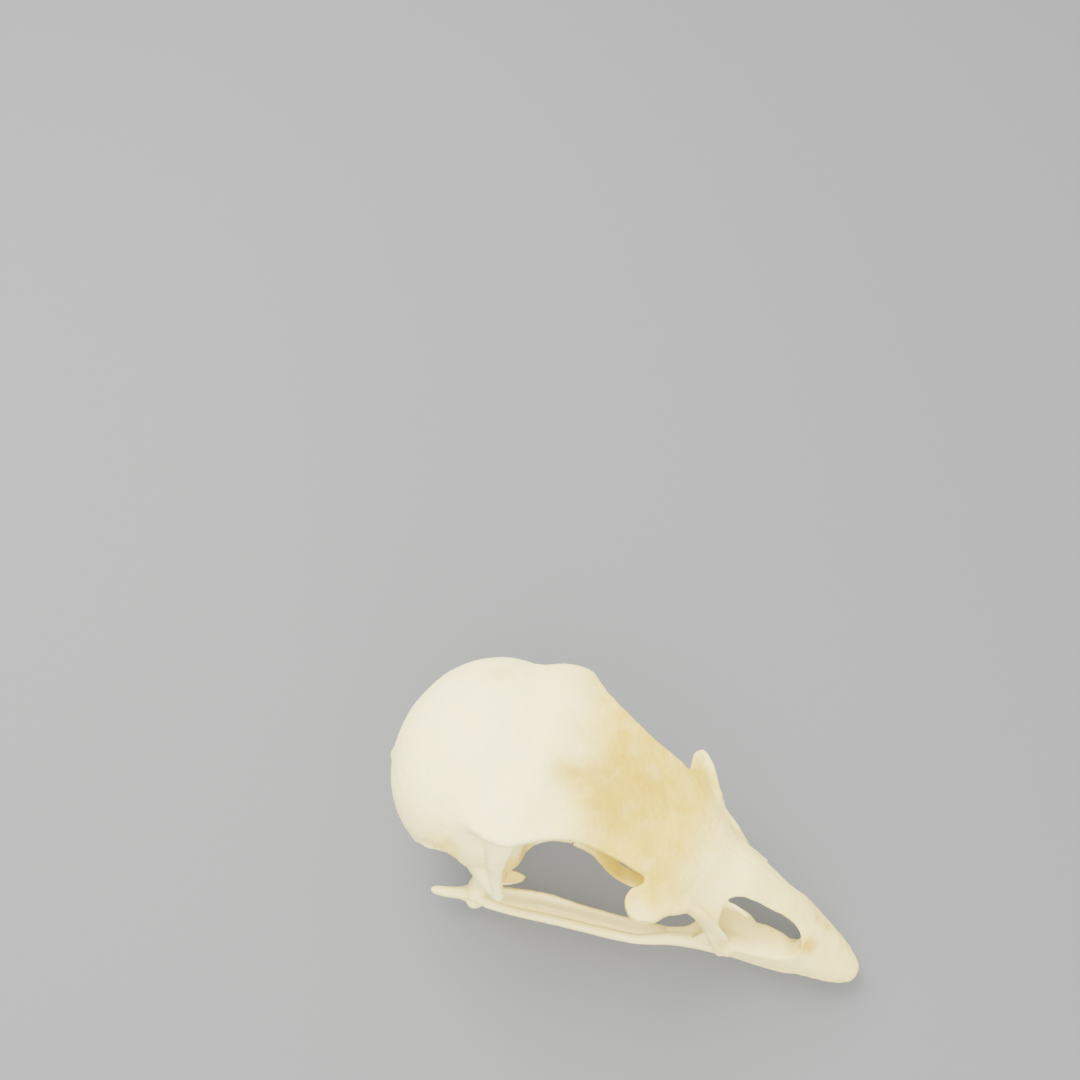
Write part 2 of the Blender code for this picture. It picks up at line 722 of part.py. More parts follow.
def jaw_form(group):
    pieces = []
    for side in (1, -1):
        pieces.append(bar("ramus", RAMUS, side, group))
        pieces.append(bar("ramus_keel", RAMUS_KEEL, side, group))
        pieces.append(ball("articular", (19.2, 11.1 * side, 3.1), (1.9, 3.4, 1.7), group))
        pieces.append(ball("angle", (19.4, 8.6 * side, 3.6), (1.0, 1.6, 0.9), group))
        pieces.append(ball("heel", (19.7, 11.2 * side, 1.9), (2.4, 1.4, 2.1), group))
    rings = []
    for s, wide, low, high in smooth(SCOOP, 3):
        ring = []
        for j in range(16):
            turn = 2 * math.pi * j / 16
            y = wide * math.cos(turn)
            z = (low + high) / 2 + (high - low) / 2 * math.sin(turn)
            ring.append((s, y, z))
        rings.append(ring)
    pieces.append(loft("scoop", rings, group))
    whole = fuse("jaw_whole", pieces, JAW_VOXEL, 2, group)
    level = box("ground", (36.5, 0.0, JAW_REST_LEVEL - 5.0), (90.0, 60.0, 10.0), group)
    sockets = [level]
    for side in (1, -1):
        sockets.append(ball(f"cup_out{side}", (19.6, 13.3 * side, 6.4), (1.8, 1.9, 1.8), group))
        sockets.append(ball(f"cup_in{side}", (19.2, 9.4 * side, 6.6), (1.8, 1.8, 1.8), group))
    return cut(thin_out(whole, JAW_TRIANGLES), sockets)


def jaw_partings(group):
    return [box("part_jaw", (61.4, 0.0, 2.0), (GAP, 14.0, 8.0), group)]


def loose_pieces(item):
    """The sets of vertices that hang together."""
    shape = bmesh.new()
    shape.from_mesh(item.data)
    shape.verts.ensure_lookup_table()
    seen, sets = set(), []
    for start in shape.verts:
        if start.index in seen:
            continue
        seen.add(start.index)
        queue, found = [start], []
        while queue:
            vertex = queue.pop()
            found.append(vertex.index)
            for edge in vertex.link_edges:
                other = edge.other_vert(vertex)
                if other.index not in seen:
                    seen.add(other.index)
                    queue.append(other)
        sets.append(set(found))
    shape.free()
    return sets


def keep_piece(item, keep, name, group):
    shape = bmesh.new()
    shape.from_mesh(item.data)
    spare = [vertex for vertex in shape.verts if vertex.index not in keep]
    bmesh.ops.delete(shape, geom=spare, context="VERTS")
    bmesh.ops.triangulate(shape, faces=shape.faces)
    mesh = bpy.data.meshes.new(name)
    shape.to_mesh(mesh)
    shape.free()
    return object_of(name, mesh, group)


def name_pieces(item, labels, group):
    """Each loose piece under the label whose point lies nearest to it."""
    sets = loose_pieces(item)
    spots = [vertex.co.copy() for vertex in item.data.vertices]
    made = {}
    for name, point in labels.items():
        goal = at(*point)
        gaps = [min((spots[i] - goal).length for i in found) for found in sets]
        best = gaps.index(min(gaps))
        made[name] = keep_piece(item, sets[best], name, group)
    return made


def paired(labels, pairs):
    made = dict(labels)
    for name, (s, y, z) in pairs.items():
        made[f"{name}_left"] = (s, y, z)
        made[f"{name}_right"] = (s, -y, z)
    return made


def bone(name, colour, rough):
    made = bpy.data.materials.new(name)
    made.use_nodes = True
    shader = made.node_tree.nodes["Principled BSDF"]
    shader.inputs["Base Color"].default_value = (*colour, 1.0)
    shader.inputs["Roughness"].default_value = rough
    made.diffuse_color = (*colour, 1.0)
    return made


def dress(nodes):
    colours = {
        "braincase": (0.86, 0.82, 0.70),
        "frontal": (0.80, 0.70, 0.45),
        "upper_bill": (0.82, 0.75, 0.55),
    }
    for name, item in nodes.items():
        colour = colours.get(name, (0.82, 0.76, 0.58))
        item.data.materials.append(bone(f"{name}_bone", colour, 0.6))


def main():
    clear_scene()
    shown = collection("bird_skull")
    hidden = collection("cutters")
    skull = cut(skull_form(hidden), skull_partings(hidden))
    jaw = cut(jaw_form(hidden), jaw_partings(hidden))
    nodes = name_pieces(skull, paired(SKULL_LABELS, SKULL_PAIRS), shown)
    nodes.update(name_pieces(jaw, paired(JAW_LABELS, JAW_PAIRS), shown))
    dress(nodes)
    cutter_look(skull)
    cutter_look(jaw)


main()
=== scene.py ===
"""A hen's skull on its lower jaw: the bones' fine surfaces, a camera, a floor and soft light.

Shapes are written in millimetres: station along the skull from the occiput,
distance from the mid plane (the bird's left is positive), height above the floor.
"""

import math

import bmesh
import bpy
import numpy as np
from mathutils import Euler, Matrix, Vector


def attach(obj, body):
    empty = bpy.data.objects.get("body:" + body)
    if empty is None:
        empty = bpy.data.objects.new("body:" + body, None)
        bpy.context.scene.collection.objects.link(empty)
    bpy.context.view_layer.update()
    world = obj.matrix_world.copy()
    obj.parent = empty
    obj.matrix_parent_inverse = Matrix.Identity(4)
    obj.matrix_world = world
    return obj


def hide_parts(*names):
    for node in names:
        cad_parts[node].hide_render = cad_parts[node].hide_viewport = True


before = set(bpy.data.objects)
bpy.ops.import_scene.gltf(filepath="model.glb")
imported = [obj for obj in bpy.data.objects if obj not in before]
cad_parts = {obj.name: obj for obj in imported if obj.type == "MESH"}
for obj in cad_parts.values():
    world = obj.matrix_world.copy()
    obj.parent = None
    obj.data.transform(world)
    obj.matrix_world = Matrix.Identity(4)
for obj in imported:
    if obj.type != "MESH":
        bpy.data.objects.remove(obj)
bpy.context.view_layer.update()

MM = 0.001

# the skull's length, and the place and bow of its mid plane
LENGTH = 73.0
MID_PLANE = -0.4
BOW = 0.8
BOW_START = 16.0
BOW_END = 66.0

# steps along curves and round sections
CURVE_STEPS = 6
LOBE_STEPS = 4
BAR_SIDES = 24
ARCH_STEPS = 48
PALATE_STEPS = 12
ROOF_STEPS = 24
SCOOP_STEPS = 32

# grid sizes, and rounds of smoothing
VAULT_VOXEL = 0.3
SKULL_VOXEL = 0.16
SMALL_VOXEL = 0.12
FUSE_ROUNDS = 6
VAULT_MELT_ROUNDS = 170
LOBE_MELT_ROUNDS = 130
MELT_LEVELS = 20
HOLLOW_ROUNDS = 30
WAVE_COUNT = 26

CASE_CENTRE = (15.8, 0.0, 20.8)
CASE_RADII = (13.4, 15.4, 12.8)
CASE_PITCH = -0.2
ORBIT_CENTRE = (34.2, 10.8, 18.5)
ORBIT_RADIUS = 10.3
ORBIT_WALL = 1.4
ROOF_CURVE = 2.2
ROOF_RIM_THINNING = 0.35
ROOF_UNDERSIDE = 0.97
ROOF_NARROWING = 0.018
ROOF_NARROWING_FRONT = 27.0
SEPTUM_THICK = 1.2
WINDOW_CENTRE = (30.2, 0.0, 16.6)
WINDOW_RADII = (2.3, 6.0, 3.2)
WINDOW_PITCH = 0.35
BILL_WALL = 1.25
BILL_WALL_FRONT = 60.0
BILL_WALL_GROWTH = 0.35
PALATE_RISE = 0.6
BILL_ROOM_REAR = 47.0
ARCH_POWER = 0.8
ARCH_FULLER = 0.045
ARCH_SLIMMER = 0.12
NASAL_LEAN = 0.1
LEAN_FRONT = 55.0
LEAN_HEIGHT = 12.0
NASAL_INSET = 0.35
NOSTRIL_REAR = 53.0
NOSTRIL_MIDDLE = 8.0
NOSTRIL_INNER = 0.4
NOSTRIL_REACH = 11.0
NOSTRIL_LIFT = 2.6
NOSTRIL_SLANT = 6.0
NOSTRIL_DROP = {1: 1.2, -1: 0.0}
NOSTRIL_SPAN = {1: 0.87, -1: 1.0}
LOBE_HALF_THICK = 0.7
LOBE_ROOT = 9.0
LOBE_REAR = 43.5
LOBE_FRONT = 44.5
LOBE_HEIGHT = 21.1
LOBE_DROOP = 0.55
LOBE_SLOPE = 0.32
LOBE_FALL = 0.58

# station, half width, edge height, middle height, thickness
ROOF_STATIONS = (
    (16.0, 12.4, 27.0, 31.6, 6.0),
    (18.5, 14.0, 27.8, 32.3, 5.6),
    (21.5, 15.0, 28.6, 32.5, 4.8),
    (24.5, 14.8, 28.6, 32.1, 3.2),
    (28.0, 12.3, 28.4, 31.0, 2.0),
    (32.0, 10.3, 28.1, 29.7, 1.8),
    (36.0, 9.3, 26.0, 27.4, 1.7),
    (40.0, 8.9, 23.9, 25.0, 1.7),
    (43.5, 8.8, 21.2, 22.9, 1.6),
    (46.5, 9.3, 18.7, 21.3, 1.5),
    (48.4, 8.4, 16.9, 20.1, 1.4),
    (49.6, 7.2, 16.0, 19.4, 1.3),
    (50.6, 5.6, 16.4, 18.9, 1.2),
)

# station, half width and height of the cutting edge, height of the ridge
BILL_STATIONS = (
    (50.9, 7.9, 4.5, 19.2),
    (52.6, 7.6, 4.4, 18.3),
    (56.0, 6.8, 4.2, 16.5),
    (60.0, 5.9, 3.9, 13.8),
    (64.0, 4.9, 3.5, 10.8),
    (68.0, 3.9, 3.0, 7.3),
    (70.6, 2.9, 2.5, 5.2),
    (72.2, 1.8, 2.2, 3.9),
    (73.0, 0.7, 2.3, 3.1),
)

NOSTRIL_OUTLINE = (
    (52.7, 12.4),
    (53.5, 13.7),
    (54.7, 14.1),
    (56.0, 13.85),
    (57.4, 13.4),
    (59.0, 12.7),
    (60.2, 12.3),
    (61.3, 11.7),
    (62.4, 11.0),
    (63.3, 10.2),
    (63.9, 9.3),
    (64.0, 8.0),
    (63.4, 7.0),
    (62.2, 6.2),
    (60.4, 5.6),
    (58.0, 5.3),
    (55.4, 5.4),
    (53.6, 7.2),
    (52.7, 10.0),
)

SEPTUM_OUTLINE = (
    (21.0, 27.0),
    (32.0, 27.6),
    (40.0, 23.4),
    (46.0, 19.6),
    (46.2, 16.4),
    (44.8, 12.6),
    (40.0, 11.0),
    (30.0, 10.7),
    (21.0, 10.5),
)

# station and distance from the mid plane, around each lobe seen from above
LACRIMAL_OUTLINES = {
    1: (
        (42.8, 7.0),
        (42.1, 8.9),
        (41.7, 11.4),
        (41.9, 12.8),
        (42.5, 13.7),
        (43.4, 13.6),
        (44.6, 12.4),
        (45.8, 11.2),
        (46.9, 9.5),
        (48.2, 7.6),
    ),
    -1: (
        (42.8, 7.0),
        (41.9, 9.4),
        (40.8, 10.7),
        (40.6, 11.9),
        (41.1, 12.8),
        (42.1, 13.4),
        (43.5, 13.2),
        (44.8, 12.5),
        (45.6, 11.6),
        (46.6, 10.5),
        (48.1, 9.3),
        (48.8, 7.4),
    ),
}

# each bar: station, side, height, half thickness across, half height
POSTORBITAL = (
    (23.2, 12.6, 27.0, 1.2, 2.6),
    (23.3, 13.9, 22.5, 1.0, 1.4),
    (23.2, 14.3, 18.0, 0.9, 1.0),
    (23.6, 14.8, 14.6, 0.8, 0.8),
    (23.9, 15.2, 12.2, 0.6, 0.6),
)
ZYGOMATIC = (
    (16.6, 11.2, 17.2, 1.4, 2.8),
    (19.6, 13.0, 15.6, 1.2, 2.3),
    (22.0, 14.3, 14.0, 1.0, 1.6),
    (24.2, 15.1, 12.6, 0.7, 0.9),
)
NASAL = (
    (47.6, 8.0, 17.3, 0.7, 1.2),
    (49.8, 7.3, 14.9, 0.7, 1.3),
    (51.5, 7.0, 12.2, 0.6, 1.5),
    (53.0, 6.75, 9.4, 0.6, 1.8),
    (53.9, 6.3, 7.4, 0.5, 1.1),
)
NOSTRIL_WEB = (
    (52.6, 4.5, 15.0, 0.35, 1.1),
    (54.4, 4.3, 14.7, 0.35, 0.7),
    (56.2, 4.3, 13.9, 0.3, 0.3),
)
JUGAL = (
    (19.6, 13.9, 6.4, 0.9, 0.9),
    (22.0, 14.1, 6.1, 0.7, 0.7),
    (26.0, 13.7, 6.0, 0.7, 0.7),
    (32.0, 12.7, 6.0, 0.7, 0.7),
    (38.0, 11.7, 5.9, 0.7, 0.75),
    (43.0, 10.5, 5.7, 0.75, 0.85),
    (47.5, 8.3, 5.5, 0.9, 1.1),
    (52.0, 6.9, 5.4, 1.0, 1.1),
    (55.5, 6.3, 5.2, 0.9, 1.0),
)
PALATINE = (
    (29.6, 1.75, 8.6, 0.65, 0.6),
    (32.5, 1.7, 8.0, 0.75, 0.5),
    (35.0, 2.3, 7.8, 1.25, 0.45),
    (36.6, 3.05, 7.7, 1.2, 0.45),
    (38.6, 3.35, 7.6, 1.25, 0.45),
    (40.6, 3.3, 7.4, 1.2, 0.45),
    (43.0, 3.5, 7.1, 0.9, 0.45),
    (48.5, 3.6, 6.3, 0.75, 0.45),
    (54.0, 4.2, 5.5, 0.9, 0.5),
)
PTERYGOID = (
    (19.6, 9.0, 6.9, 1.0, 1.0),
    (22.4, 5.5, 8.0, 0.75, 0.8),
    (25.8, 2.6, 8.7, 0.7, 0.8),
    (29.4, 1.65, 8.8, 0.6, 0.65),
)
ROSTRUM = (
    (13.0, 0.0, 9.6, 3.4, 1.6),
    (18.0, 0.0, 9.7, 2.0, 1.3),
    (24.0, 0.0, 10.6, 1.1, 1.0),
    (32.0, 0.0, 11.0, 0.85, 0.95),
    (40.0, 0.0, 11.4, 0.8, 0.9),
    (45.0, 0.0, 12.9, 0.65, 0.8),
)
FORAMEN = (
    (-2.0, 0.0, 15.0, 2.9, 3.2),
    (3.0, 0.0, 15.3, 2.9, 3.2),
    (9.0, 0.0, 17.0, 2.0, 2.0),
)
OTIC_PROCESS = (
    (20.1, 11.8, 8.2, 1.7, 1.7),
    (20.8, 12.1, 11.0, 1.2, 1.5),
    (20.5, 11.9, 13.4, 1.2, 1.4),
    (19.0, 11.3, 15.4, 1.2, 1.3),
)
ORBITAL_PROCESS = (
    (19.4, 11.6, 9.4, 1.2, 2.2),
    (21.6, 11.0, 8.8, 0.8, 2.9),
    (23.0, 10.6, 8.3, 0.6, 3.0),
    (23.5, 10.45, 7.7, 0.45, 2.6),
    (23.9, 10.35, 7.2, 0.3, 1.9),
)
SHELF = (
    (46.4, 8.0, 5.6, 0.9, 0.5),
    (49.8, 6.6, 5.6, 1.5, 0.6),
    (53.2, 4.4, 6.3, 3.6, 0.6),
    (55.5, 3.7, 6.8, 3.3, 0.55),
    (57.5, 3.7, 7.0, 2.3, 0.55),
    (59.5, 3.4, 7.2, 2.1, 0.55),
    (61.5, 3.1, 7.1, 1.8, 0.5),
    (63.3, 2.7, 6.3, 1.5, 0.6),
    (66.0, 1.6, 4.8, 2.4, 0.9),
)
FAR_SHELF = (
    (46.4, 8.0, 5.6, 0.9, 0.5),
    (50.2, 6.5, 5.6, 1.4, 0.6),
    (55.5, 4.9, 6.2, 1.9, 0.5),
    (60.0, 4.2, 6.2, 1.4, 0.5),
    (64.0, 3.0, 5.6, 1.2, 0.6),
    (66.0, 1.6, 4.8, 2.4, 0.9),
)
SILL = (
    (51.0, 6.4, 6.2, 1.2, 0.7),
    (53.5, 6.0, 6.7, 1.3, 0.8),
    (56.0, 5.4, 6.9, 1.4, 0.8),
    (59.0, 4.8, 6.8, 1.3, 0.7),
    (61.5, 4.2, 6.6, 1.1, 0.7),
    (63.2, 3.6, 6.2, 0.9, 0.7),
)
CHEEK_PLATE = (
    (50.3, 7.5, 6.2, 0.4, 0.6),
    (51.4, 7.2, 6.8, 0.4, 1.4),
    (52.4, 7.0, 7.4, 0.45, 2.0),
    (53.6, 6.85, 7.0, 0.45, 1.9),
)
RAMUS = (
    (12.7, 14.3, 3.4, 0.15, 0.2),
    (13.0, 14.25, 3.4, 0.45, 0.5),
    (13.8, 14.1, 3.45, 0.65, 0.8),
    (15.4, 13.7, 3.55, 0.75, 0.9),
    (17.0, 13.1, 3.4, 0.9, 1.1),
    (18.8, 12.2, 2.7, 1.4, 1.7),
    (22.0, 11.3, 3.0, 1.0, 2.3),
    (28.0, 10.1, 3.4, 0.75, 3.0),
    (34.0, 9.2, 3.0, 0.7, 2.5),
    (40.0, 8.1, 2.6, 0.7, 1.9),
    (46.0, 6.7, 2.2, 0.75, 1.55),
    (52.0, 5.4, 2.0, 0.8, 1.35),
    (58.0, 4.6, 1.8, 0.75, 1.2),
    (61.0, 4.2, 1.6, 0.6, 1.0),
    (63.6, 3.5, 1.4, 0.65, 0.9),
    (66.5, 1.6, 1.3, 1.3, 1.0),
)
RAMUS_KEEL = (
    (20.5, 11.9, 2.0, 0.8, 1.2),
    (24.0, 11.7, 1.6, 0.8, 1.1),
    (30.0, 10.7, 1.6, 0.8, 1.0),
    (37.0, 9.4, 1.6, 0.8, 0.9),
    (44.0, 7.6, 1.7, 0.7, 0.8),
    (50.0, 5.8, 1.7, 0.6, 0.7),
)

# each ball: name, centre and radii
CASE_HOLLOWS = (
    ("drum", (18.8, 12.4, 8.4), (7.8, 5.6, 5.0)),
    ("flank", (15.6, 19.9, 12.0), (7.0, 8.0, 8.0)),
    ("ear_room", (14.9, 17.6, 17.8), (4.6, 5.4, 4.4)),
)
WEB_FORMS = (
    ("web", (21.4, 9.9, 18.7), (4.2, 4.2, 6.1)),
    ("temple", (22.0, 17.0, 18.5), (1.3, 3.4, 5.0)),
    ("cheek", (26.2, 15.2, 16.5), (1.9, 2.6, 5.5)),
)
HIND_FORMS = (
    ("base", (11.0, 0.0, 10.9), (8.0, 8.4, 3.0)),
    ("neck", (5.4, 0.0, 13.8), (4.0, 5.8, 4.8)),
    ("condyle", (1.7, 0.0, 11.1), (1.7, 1.5, 1.2)),
)
SIDE_FORMS = (
    ("wing", (9.4, 8.7, 12.6), (3.3, 2.2, 3.9)),
    ("socket", (17.4, 10.4, 15.6), (2.6, 2.0, 2.2)),
    ("fossa", (21.9, 12.8, 15.0), (2.2, 1.5, 2.4)),
)
EAR = (("ear", (14.8, 12.4, 15.4), (1.6, 2.8, 1.1)),)
ETHMOID = (("ethmoid", (42.0, 0.0, 17.6), (1.2, 5.0, 3.6)),)
QUADRATE_FOOT = (("foot", (19.8, 11.4, 7.3), (1.5, 2.4, 1.4)),)
JAW_HEEL = (
    ("articular", (19.2, 11.1, 3.1), (1.9, 3.4, 1.7)),
    ("angle", (19.4, 8.6, 3.6), (1.0, 1.6, 0.9)),
    ("heel", (19.7, 11.2, 1.9), (2.4, 1.4, 2.1)),
)

# centre and radii of each foot of the quadrate
CONDYLES = (
    ((19.6, 13.3, 6.4), (1.4, 1.5, 1.4)),
    ((19.2, 9.4, 6.6), (1.4, 1.4, 1.4)),
)
CUP_CLEARANCE = 0.2

# station, half width, bottom and top height of the jaw's front
SCOOP = (
    (64.4, 2.9, 0.5, 1.5),
    (65.6, 3.1, -0.2, 2.0),
    (67.0, 2.8, -0.2, 2.2),
    (68.8, 2.3, 0.6, 2.1),
    (70.4, 1.2, 1.0, 1.8),
)

# station, side, height, radius and strength of each fat stain
STAINS = (
    (27.4, -3.2, 31.0, 1.7, 0.35),
    (29.4, -2.4, 30.5, 1.8, 0.40),
    (31.2, -1.6, 29.9, 2.2, 0.45),
    (33.4, -3.8, 28.9, 2.6, 0.40),
    (33.6, 0.6, 29.0, 2.2, 0.45),
    (36.3, -4.0, 27.2, 3.0, 0.50),
    (36.4, 1.9, 27.4, 2.4, 0.50),
    (38.6, 1.8, 26.0, 2.2, 0.40),
    (40.2, 1.2, 25.0, 1.8, 0.25),
    (14.0, 7.4, 31.6, 1.6, 0.15),
    (3.1, -5.1, 21.3, 1.1, 0.40),
    (17.0, -14.7, 23.9, 0.9, 0.35),
    (36.4, -3.4, 7.7, 2.2, 0.30),
    (53.5, -6.8, 8.5, 1.8, 0.20),
    (65.2, -2.4, 9.2, 1.0, 1.00),
    (64.2, -3.0, 9.4, 0.9, 0.35),
    (65.1, 1.9, 9.6, 0.7, 0.45),
    (66.6, 1.9, 8.2, 0.7, 0.45),
)
STAIN_STRENGTH = 1.9

# two corners around the specks at the hinge of the bill
HINGE_SPECKS = ((45.5, -4.5, 16.5), (52.5, 2.5, 22.0))
SPECK_COUNT = 45
SPECK_DEPTH = 0.14

# linear base colours
PALE_BONE = (0.95, 0.86, 0.42)
CREAM_BONE = (0.92, 0.76, 0.18)
TAN_BONE = (0.64, 0.47, 0.02)
FAT_STAIN = (0.51, 0.36, 0.003)
# painted shade: the yellow of the recesses behind the orbits and round the ears
RECESS_SHADE_YELLOW = (0.66, 0.47, 0.01)
# painted shade for the hollows, and the colour of the real specks at the bill's hinge
HOLLOW_SHADE_AND_SPECK = (0.62, 0.45, 0.06)

# bumps to the metre, and depths in metres
CLOUD_SCALE = 260.0
GRAIN_SCALE = 1500.0
SPECK_SCALE = 4200.0
BUMP_DEPTH = 0.00012
GLOW_DEPTH = 0.0012

# the camera's place and directions in the frame's metres, its lens in millimetres
CAMERA_PLACE = (0.0169, -0.0729, 0.174)
CAMERA_RIGHT = (0.9143, 0.4049, 0.0132)
CAMERA_UP = (-0.3253, 0.7144, 0.6195)
CAMERA_LOOK = (-0.2414, 0.5706, -0.7849)
CAMERA_NEAR = 0.005
CAMERA_LENS = 40.43
CAMERA_SENSOR = 36.0

# name, place, size, power and colour of each light
LIGHTS = (
    ("key", (-0.24, 0.08, 0.40), 0.34, 6.0, (1.0, 0.965, 0.82)),
    ("fill", (0.16, -0.34, 0.30), 0.45, 4.5, (1.0, 0.97, 0.84)),
)
SKY_COLOUR = (1.0, 0.975, 0.84, 1.0)
SKY_STRENGTH = 2.3
FLOOR_HALF = 3.0
FLOOR_COLOUR = (0.080, 0.086, 0.104, 1.0)
FLOOR_GLOW_COLOUR = (1.0, 1.0, 0.97, 1.0)
FLOOR_GLOW = 0.22


def bow(station):
    """How far the mid line of this skull lies to the left."""
    share = np.clip((station - BOW_START) / (BOW_END - BOW_START), 0.0, 1.15)
    return BOW * np.sin(np.pi * share)


def at(station, side, height):
    """The point in the frame's metres."""
    across = MID_PLANE + side + float(bow(station))
    return Vector(((station - LENGTH / 2) * MM, across * MM, height * MM))


def mesh_of(name, points, faces):
    """A mesh of the points, its faces turned outwards."""
    mesh = bpy.data.meshes.new(name)
    mesh.from_pydata(points, [], faces)
    shape = bmesh.new()
    shape.from_mesh(mesh)
    bmesh.ops.recalc_face_normals(shape, faces=shape.faces)
    shape.to_mesh(mesh)
    shape.free()
    return mesh


def loft(name, rings):
    """A solid through rings of equal count, closed by a face at each end."""
    count = len(rings[0])
    points = [at(*point) for ring in rings for point in ring]
    faces = []
    for i in range(len(rings) - 1):
        for j in range(count):
            k = (j + 1) % count
            low, high = i * count, (i + 1) * count
            faces.append((low + j, low + k, high + k, high + j))
    faces.append(tuple(range(count)))
    faces.append(tuple(range(len(points) - count, len(points))))
    return mesh_of(name, points, faces)


def between(before, start, end, after, part):
    """The point of a smooth curve between start and end."""
    a = 2 * start
    b = end - before
    c = 2 * before - 5 * start + 4 * end - after
    d = 3 * start - before - 3 * end + after
    return 0.5 * (a + b * part + c * part**2 + d * part**3)


def smooth(rows, steps=CURVE_STEPS, loop=False):
    """The rows with steps rows from each to the next, along a smooth curve."""
    count = len(rows)
    last = count if loop else count - 1
    made = []
    for i in range(last):
        around = [i - 1, i, i + 1, i + 2]
        if loop:
            around = [k % count for k in around]
        else:
            around = [min(max(k, 0), count - 1) for k in around]
        four = [rows[k] for k in around]
        for step in range(steps):
            part = step / steps
            made.append(tuple(between(*values, part) for values in zip(*four)))
    if not loop:
        made.append(tuple(rows[-1]))
    return made


def bar(name, rows, side, upright=False):
    """A rounded bar along rows of station, side, height and two half sizes."""
    path = smooth([(s, y * side, z, w, h) for s, y, z, w, h in rows])
    rings = []
    for i, (s, y, z, wide, high) in enumerate(path):
        ahead = Vector(path[min(i + 1, len(path) - 1)][:3])
        behind = Vector(path[max(i - 1, 0)][:3])
        along = (ahead - behind).normalized()
        across = along.cross(Vector((0, 0, 1)))
        if upright:
            across = Vector((0, 1, 0)) - along * along.y
        across.normalize()
        up = across.cross(along)
        ring = []
        for j in range(BAR_SIDES):
            turn = 2 * math.pi * j / BAR_SIDES
            push = across * (wide * math.cos(turn)) + up * (high * math.sin(turn))
            ring.append(tuple(Vector((s, y, z)) + push))
        rings.append(ring)
    return loft(name, rings)


def placed(name, shape, centre, size, turn):
    """A unit shape sized, turned and moved, as a mesh."""
    for vertex in shape.verts:
        sized = Vector([a * b * MM for a, b in zip(vertex.co, size)])
        vertex.co = turn @ sized + at(*centre)
    mesh = bpy.data.meshes.new(name)
    shape.to_mesh(mesh)
    shape.free()
    return mesh


def ball(name, centre, radii, pitch=0.0):
    """An ellipsoid, tipped by the pitch about the cross axis."""
    shape = bmesh.new()
    bmesh.ops.create_icosphere(shape, subdivisions=5, radius=1.0)
    return placed(name, shape, centre, radii, Euler((0.0, pitch, 0.0)).to_matrix())


def balls(rows, side=1):
    """A ball for each row of name, centre and radii, on one side of the skull."""
    return [ball(name, (s, y * side, z), radii) for name, (s, y, z), radii in rows]


def box(name, centre, size):
    shape = bmesh.new()
    bmesh.ops.create_cube(shape, size=1.0)
    return placed(name, shape, centre, size, Matrix.Identity(3))


def panel(name, outline, thick):
    """An upright plate on the mid plane, from its outline seen from the side."""
    edge = smooth(outline, loop=True)
    rings = [[(s, y, z) for s, z in edge] for y in (-thick / 2, thick / 2)]
    return loft(name, rings)


def shown(name, mesh):
    """A new object of the mesh, in the scene."""
    item = bpy.data.objects.new(name, mesh)
    bpy.context.scene.collection.objects.link(item)
    return item


def settle(item):
    """The object with its modifiers applied."""
    graph = bpy.context.evaluated_depsgraph_get()
    mesh = bpy.data.meshes.new_from_object(item.evaluated_get(graph))
    item.modifiers.clear()
    item.data = mesh
    return item


def cut(item, cutters, solver="EXACT"):
    """The object less each cutter."""
    knives = [shown(mesh.name, mesh) for mesh in cutters]
    for knife in knives:
        step = item.modifiers.new(knife.name, "BOOLEAN")
        step.operation = "DIFFERENCE"
        step.solver = solver
        step.object = knife
    settle(item)
    for knife in knives:
        bpy.data.objects.remove(knife)
    return item


def cut_mesh(mesh, cutters):
    """The mesh less each cutter, before it is fused with others."""
    item = cut(shown(mesh.name, mesh), cutters)
    made = item.data
    bpy.data.objects.remove(item)
    return made


def fuse(name, meshes, voxel, rounds):
    """One seamless solid of overlapping meshes, lightly rounded."""
    shape = bmesh.new()
    for mesh in meshes:
        shape.from_mesh(mesh)
    whole = bpy.data.meshes.new(name)
    shape.to_mesh(whole)
    shape.free()
    return regrid(shown(name, whole), voxel, rounds)


def regrid(item, voxel, rounds):
    """The object remade on an even grid and smoothed."""
    grid = item.modifiers.new("Grid", "REMESH")
    grid.mode = "VOXEL"
    grid.voxel_size = voxel * MM
    ease = item.modifiers.new("Ease", "SMOOTH")
    ease.factor = 0.5
    ease.iterations = rounds
    return settle(item)


def braincase_forms():
    """The case with its orbits and side hollows cut out, and the webs behind the orbits."""
    hollows = []
    webs = []
    for side in (1, -1):
        s, y, z = ORBIT_CENTRE
        centre = (s, y * side, z)
        hollows.append(ball("orbit", centre, (ORBIT_RADIUS,) * 3))
        hollows.extend(balls(CASE_HOLLOWS, side))
        web, temple, cheek = balls(WEB_FORMS, side)
        socket = ball("web_orbit", centre, (ORBIT_RADIUS - ORBIT_WALL,) * 3)
        webs.append(cut_mesh(web, [socket, temple, cheek]))
    case = cut_mesh(ball("case", CASE_CENTRE, CASE_RADII, pitch=CASE_PITCH), hollows)
    return [case] + webs


def nasal_form(side):
    """The bar in front of each orbit, set in a little on the left."""
    inset = NASAL_INSET * (1 + side)
    rows = [(s, y - inset, z, wide, high) for s, y, z, wide, high in NASAL]
    return bar("nasal", rows, side, upright=True)


def side_forms(side):
    """The braincase's processes and the bones fused to it and to the bill."""
    return [
        *balls(SIDE_FORMS, side),
        bar("postorbital", POSTORBITAL, side, upright=True),
        bar("zygomatic", ZYGOMATIC, side),
        bar("jugal", JUGAL, side),
        bar("palatine", PALATINE, side),
        bar("shelf", SHELF if side < 0 else FAR_SHELF, side),
        bar("sill", SILL, side),
        bar("cheek_plate", CHEEK_PLATE, side, upright=True),
        nasal_form(side),
        bar("nostril_web", NOSTRIL_WEB, side),
        lacrimal_form(side),
    ]


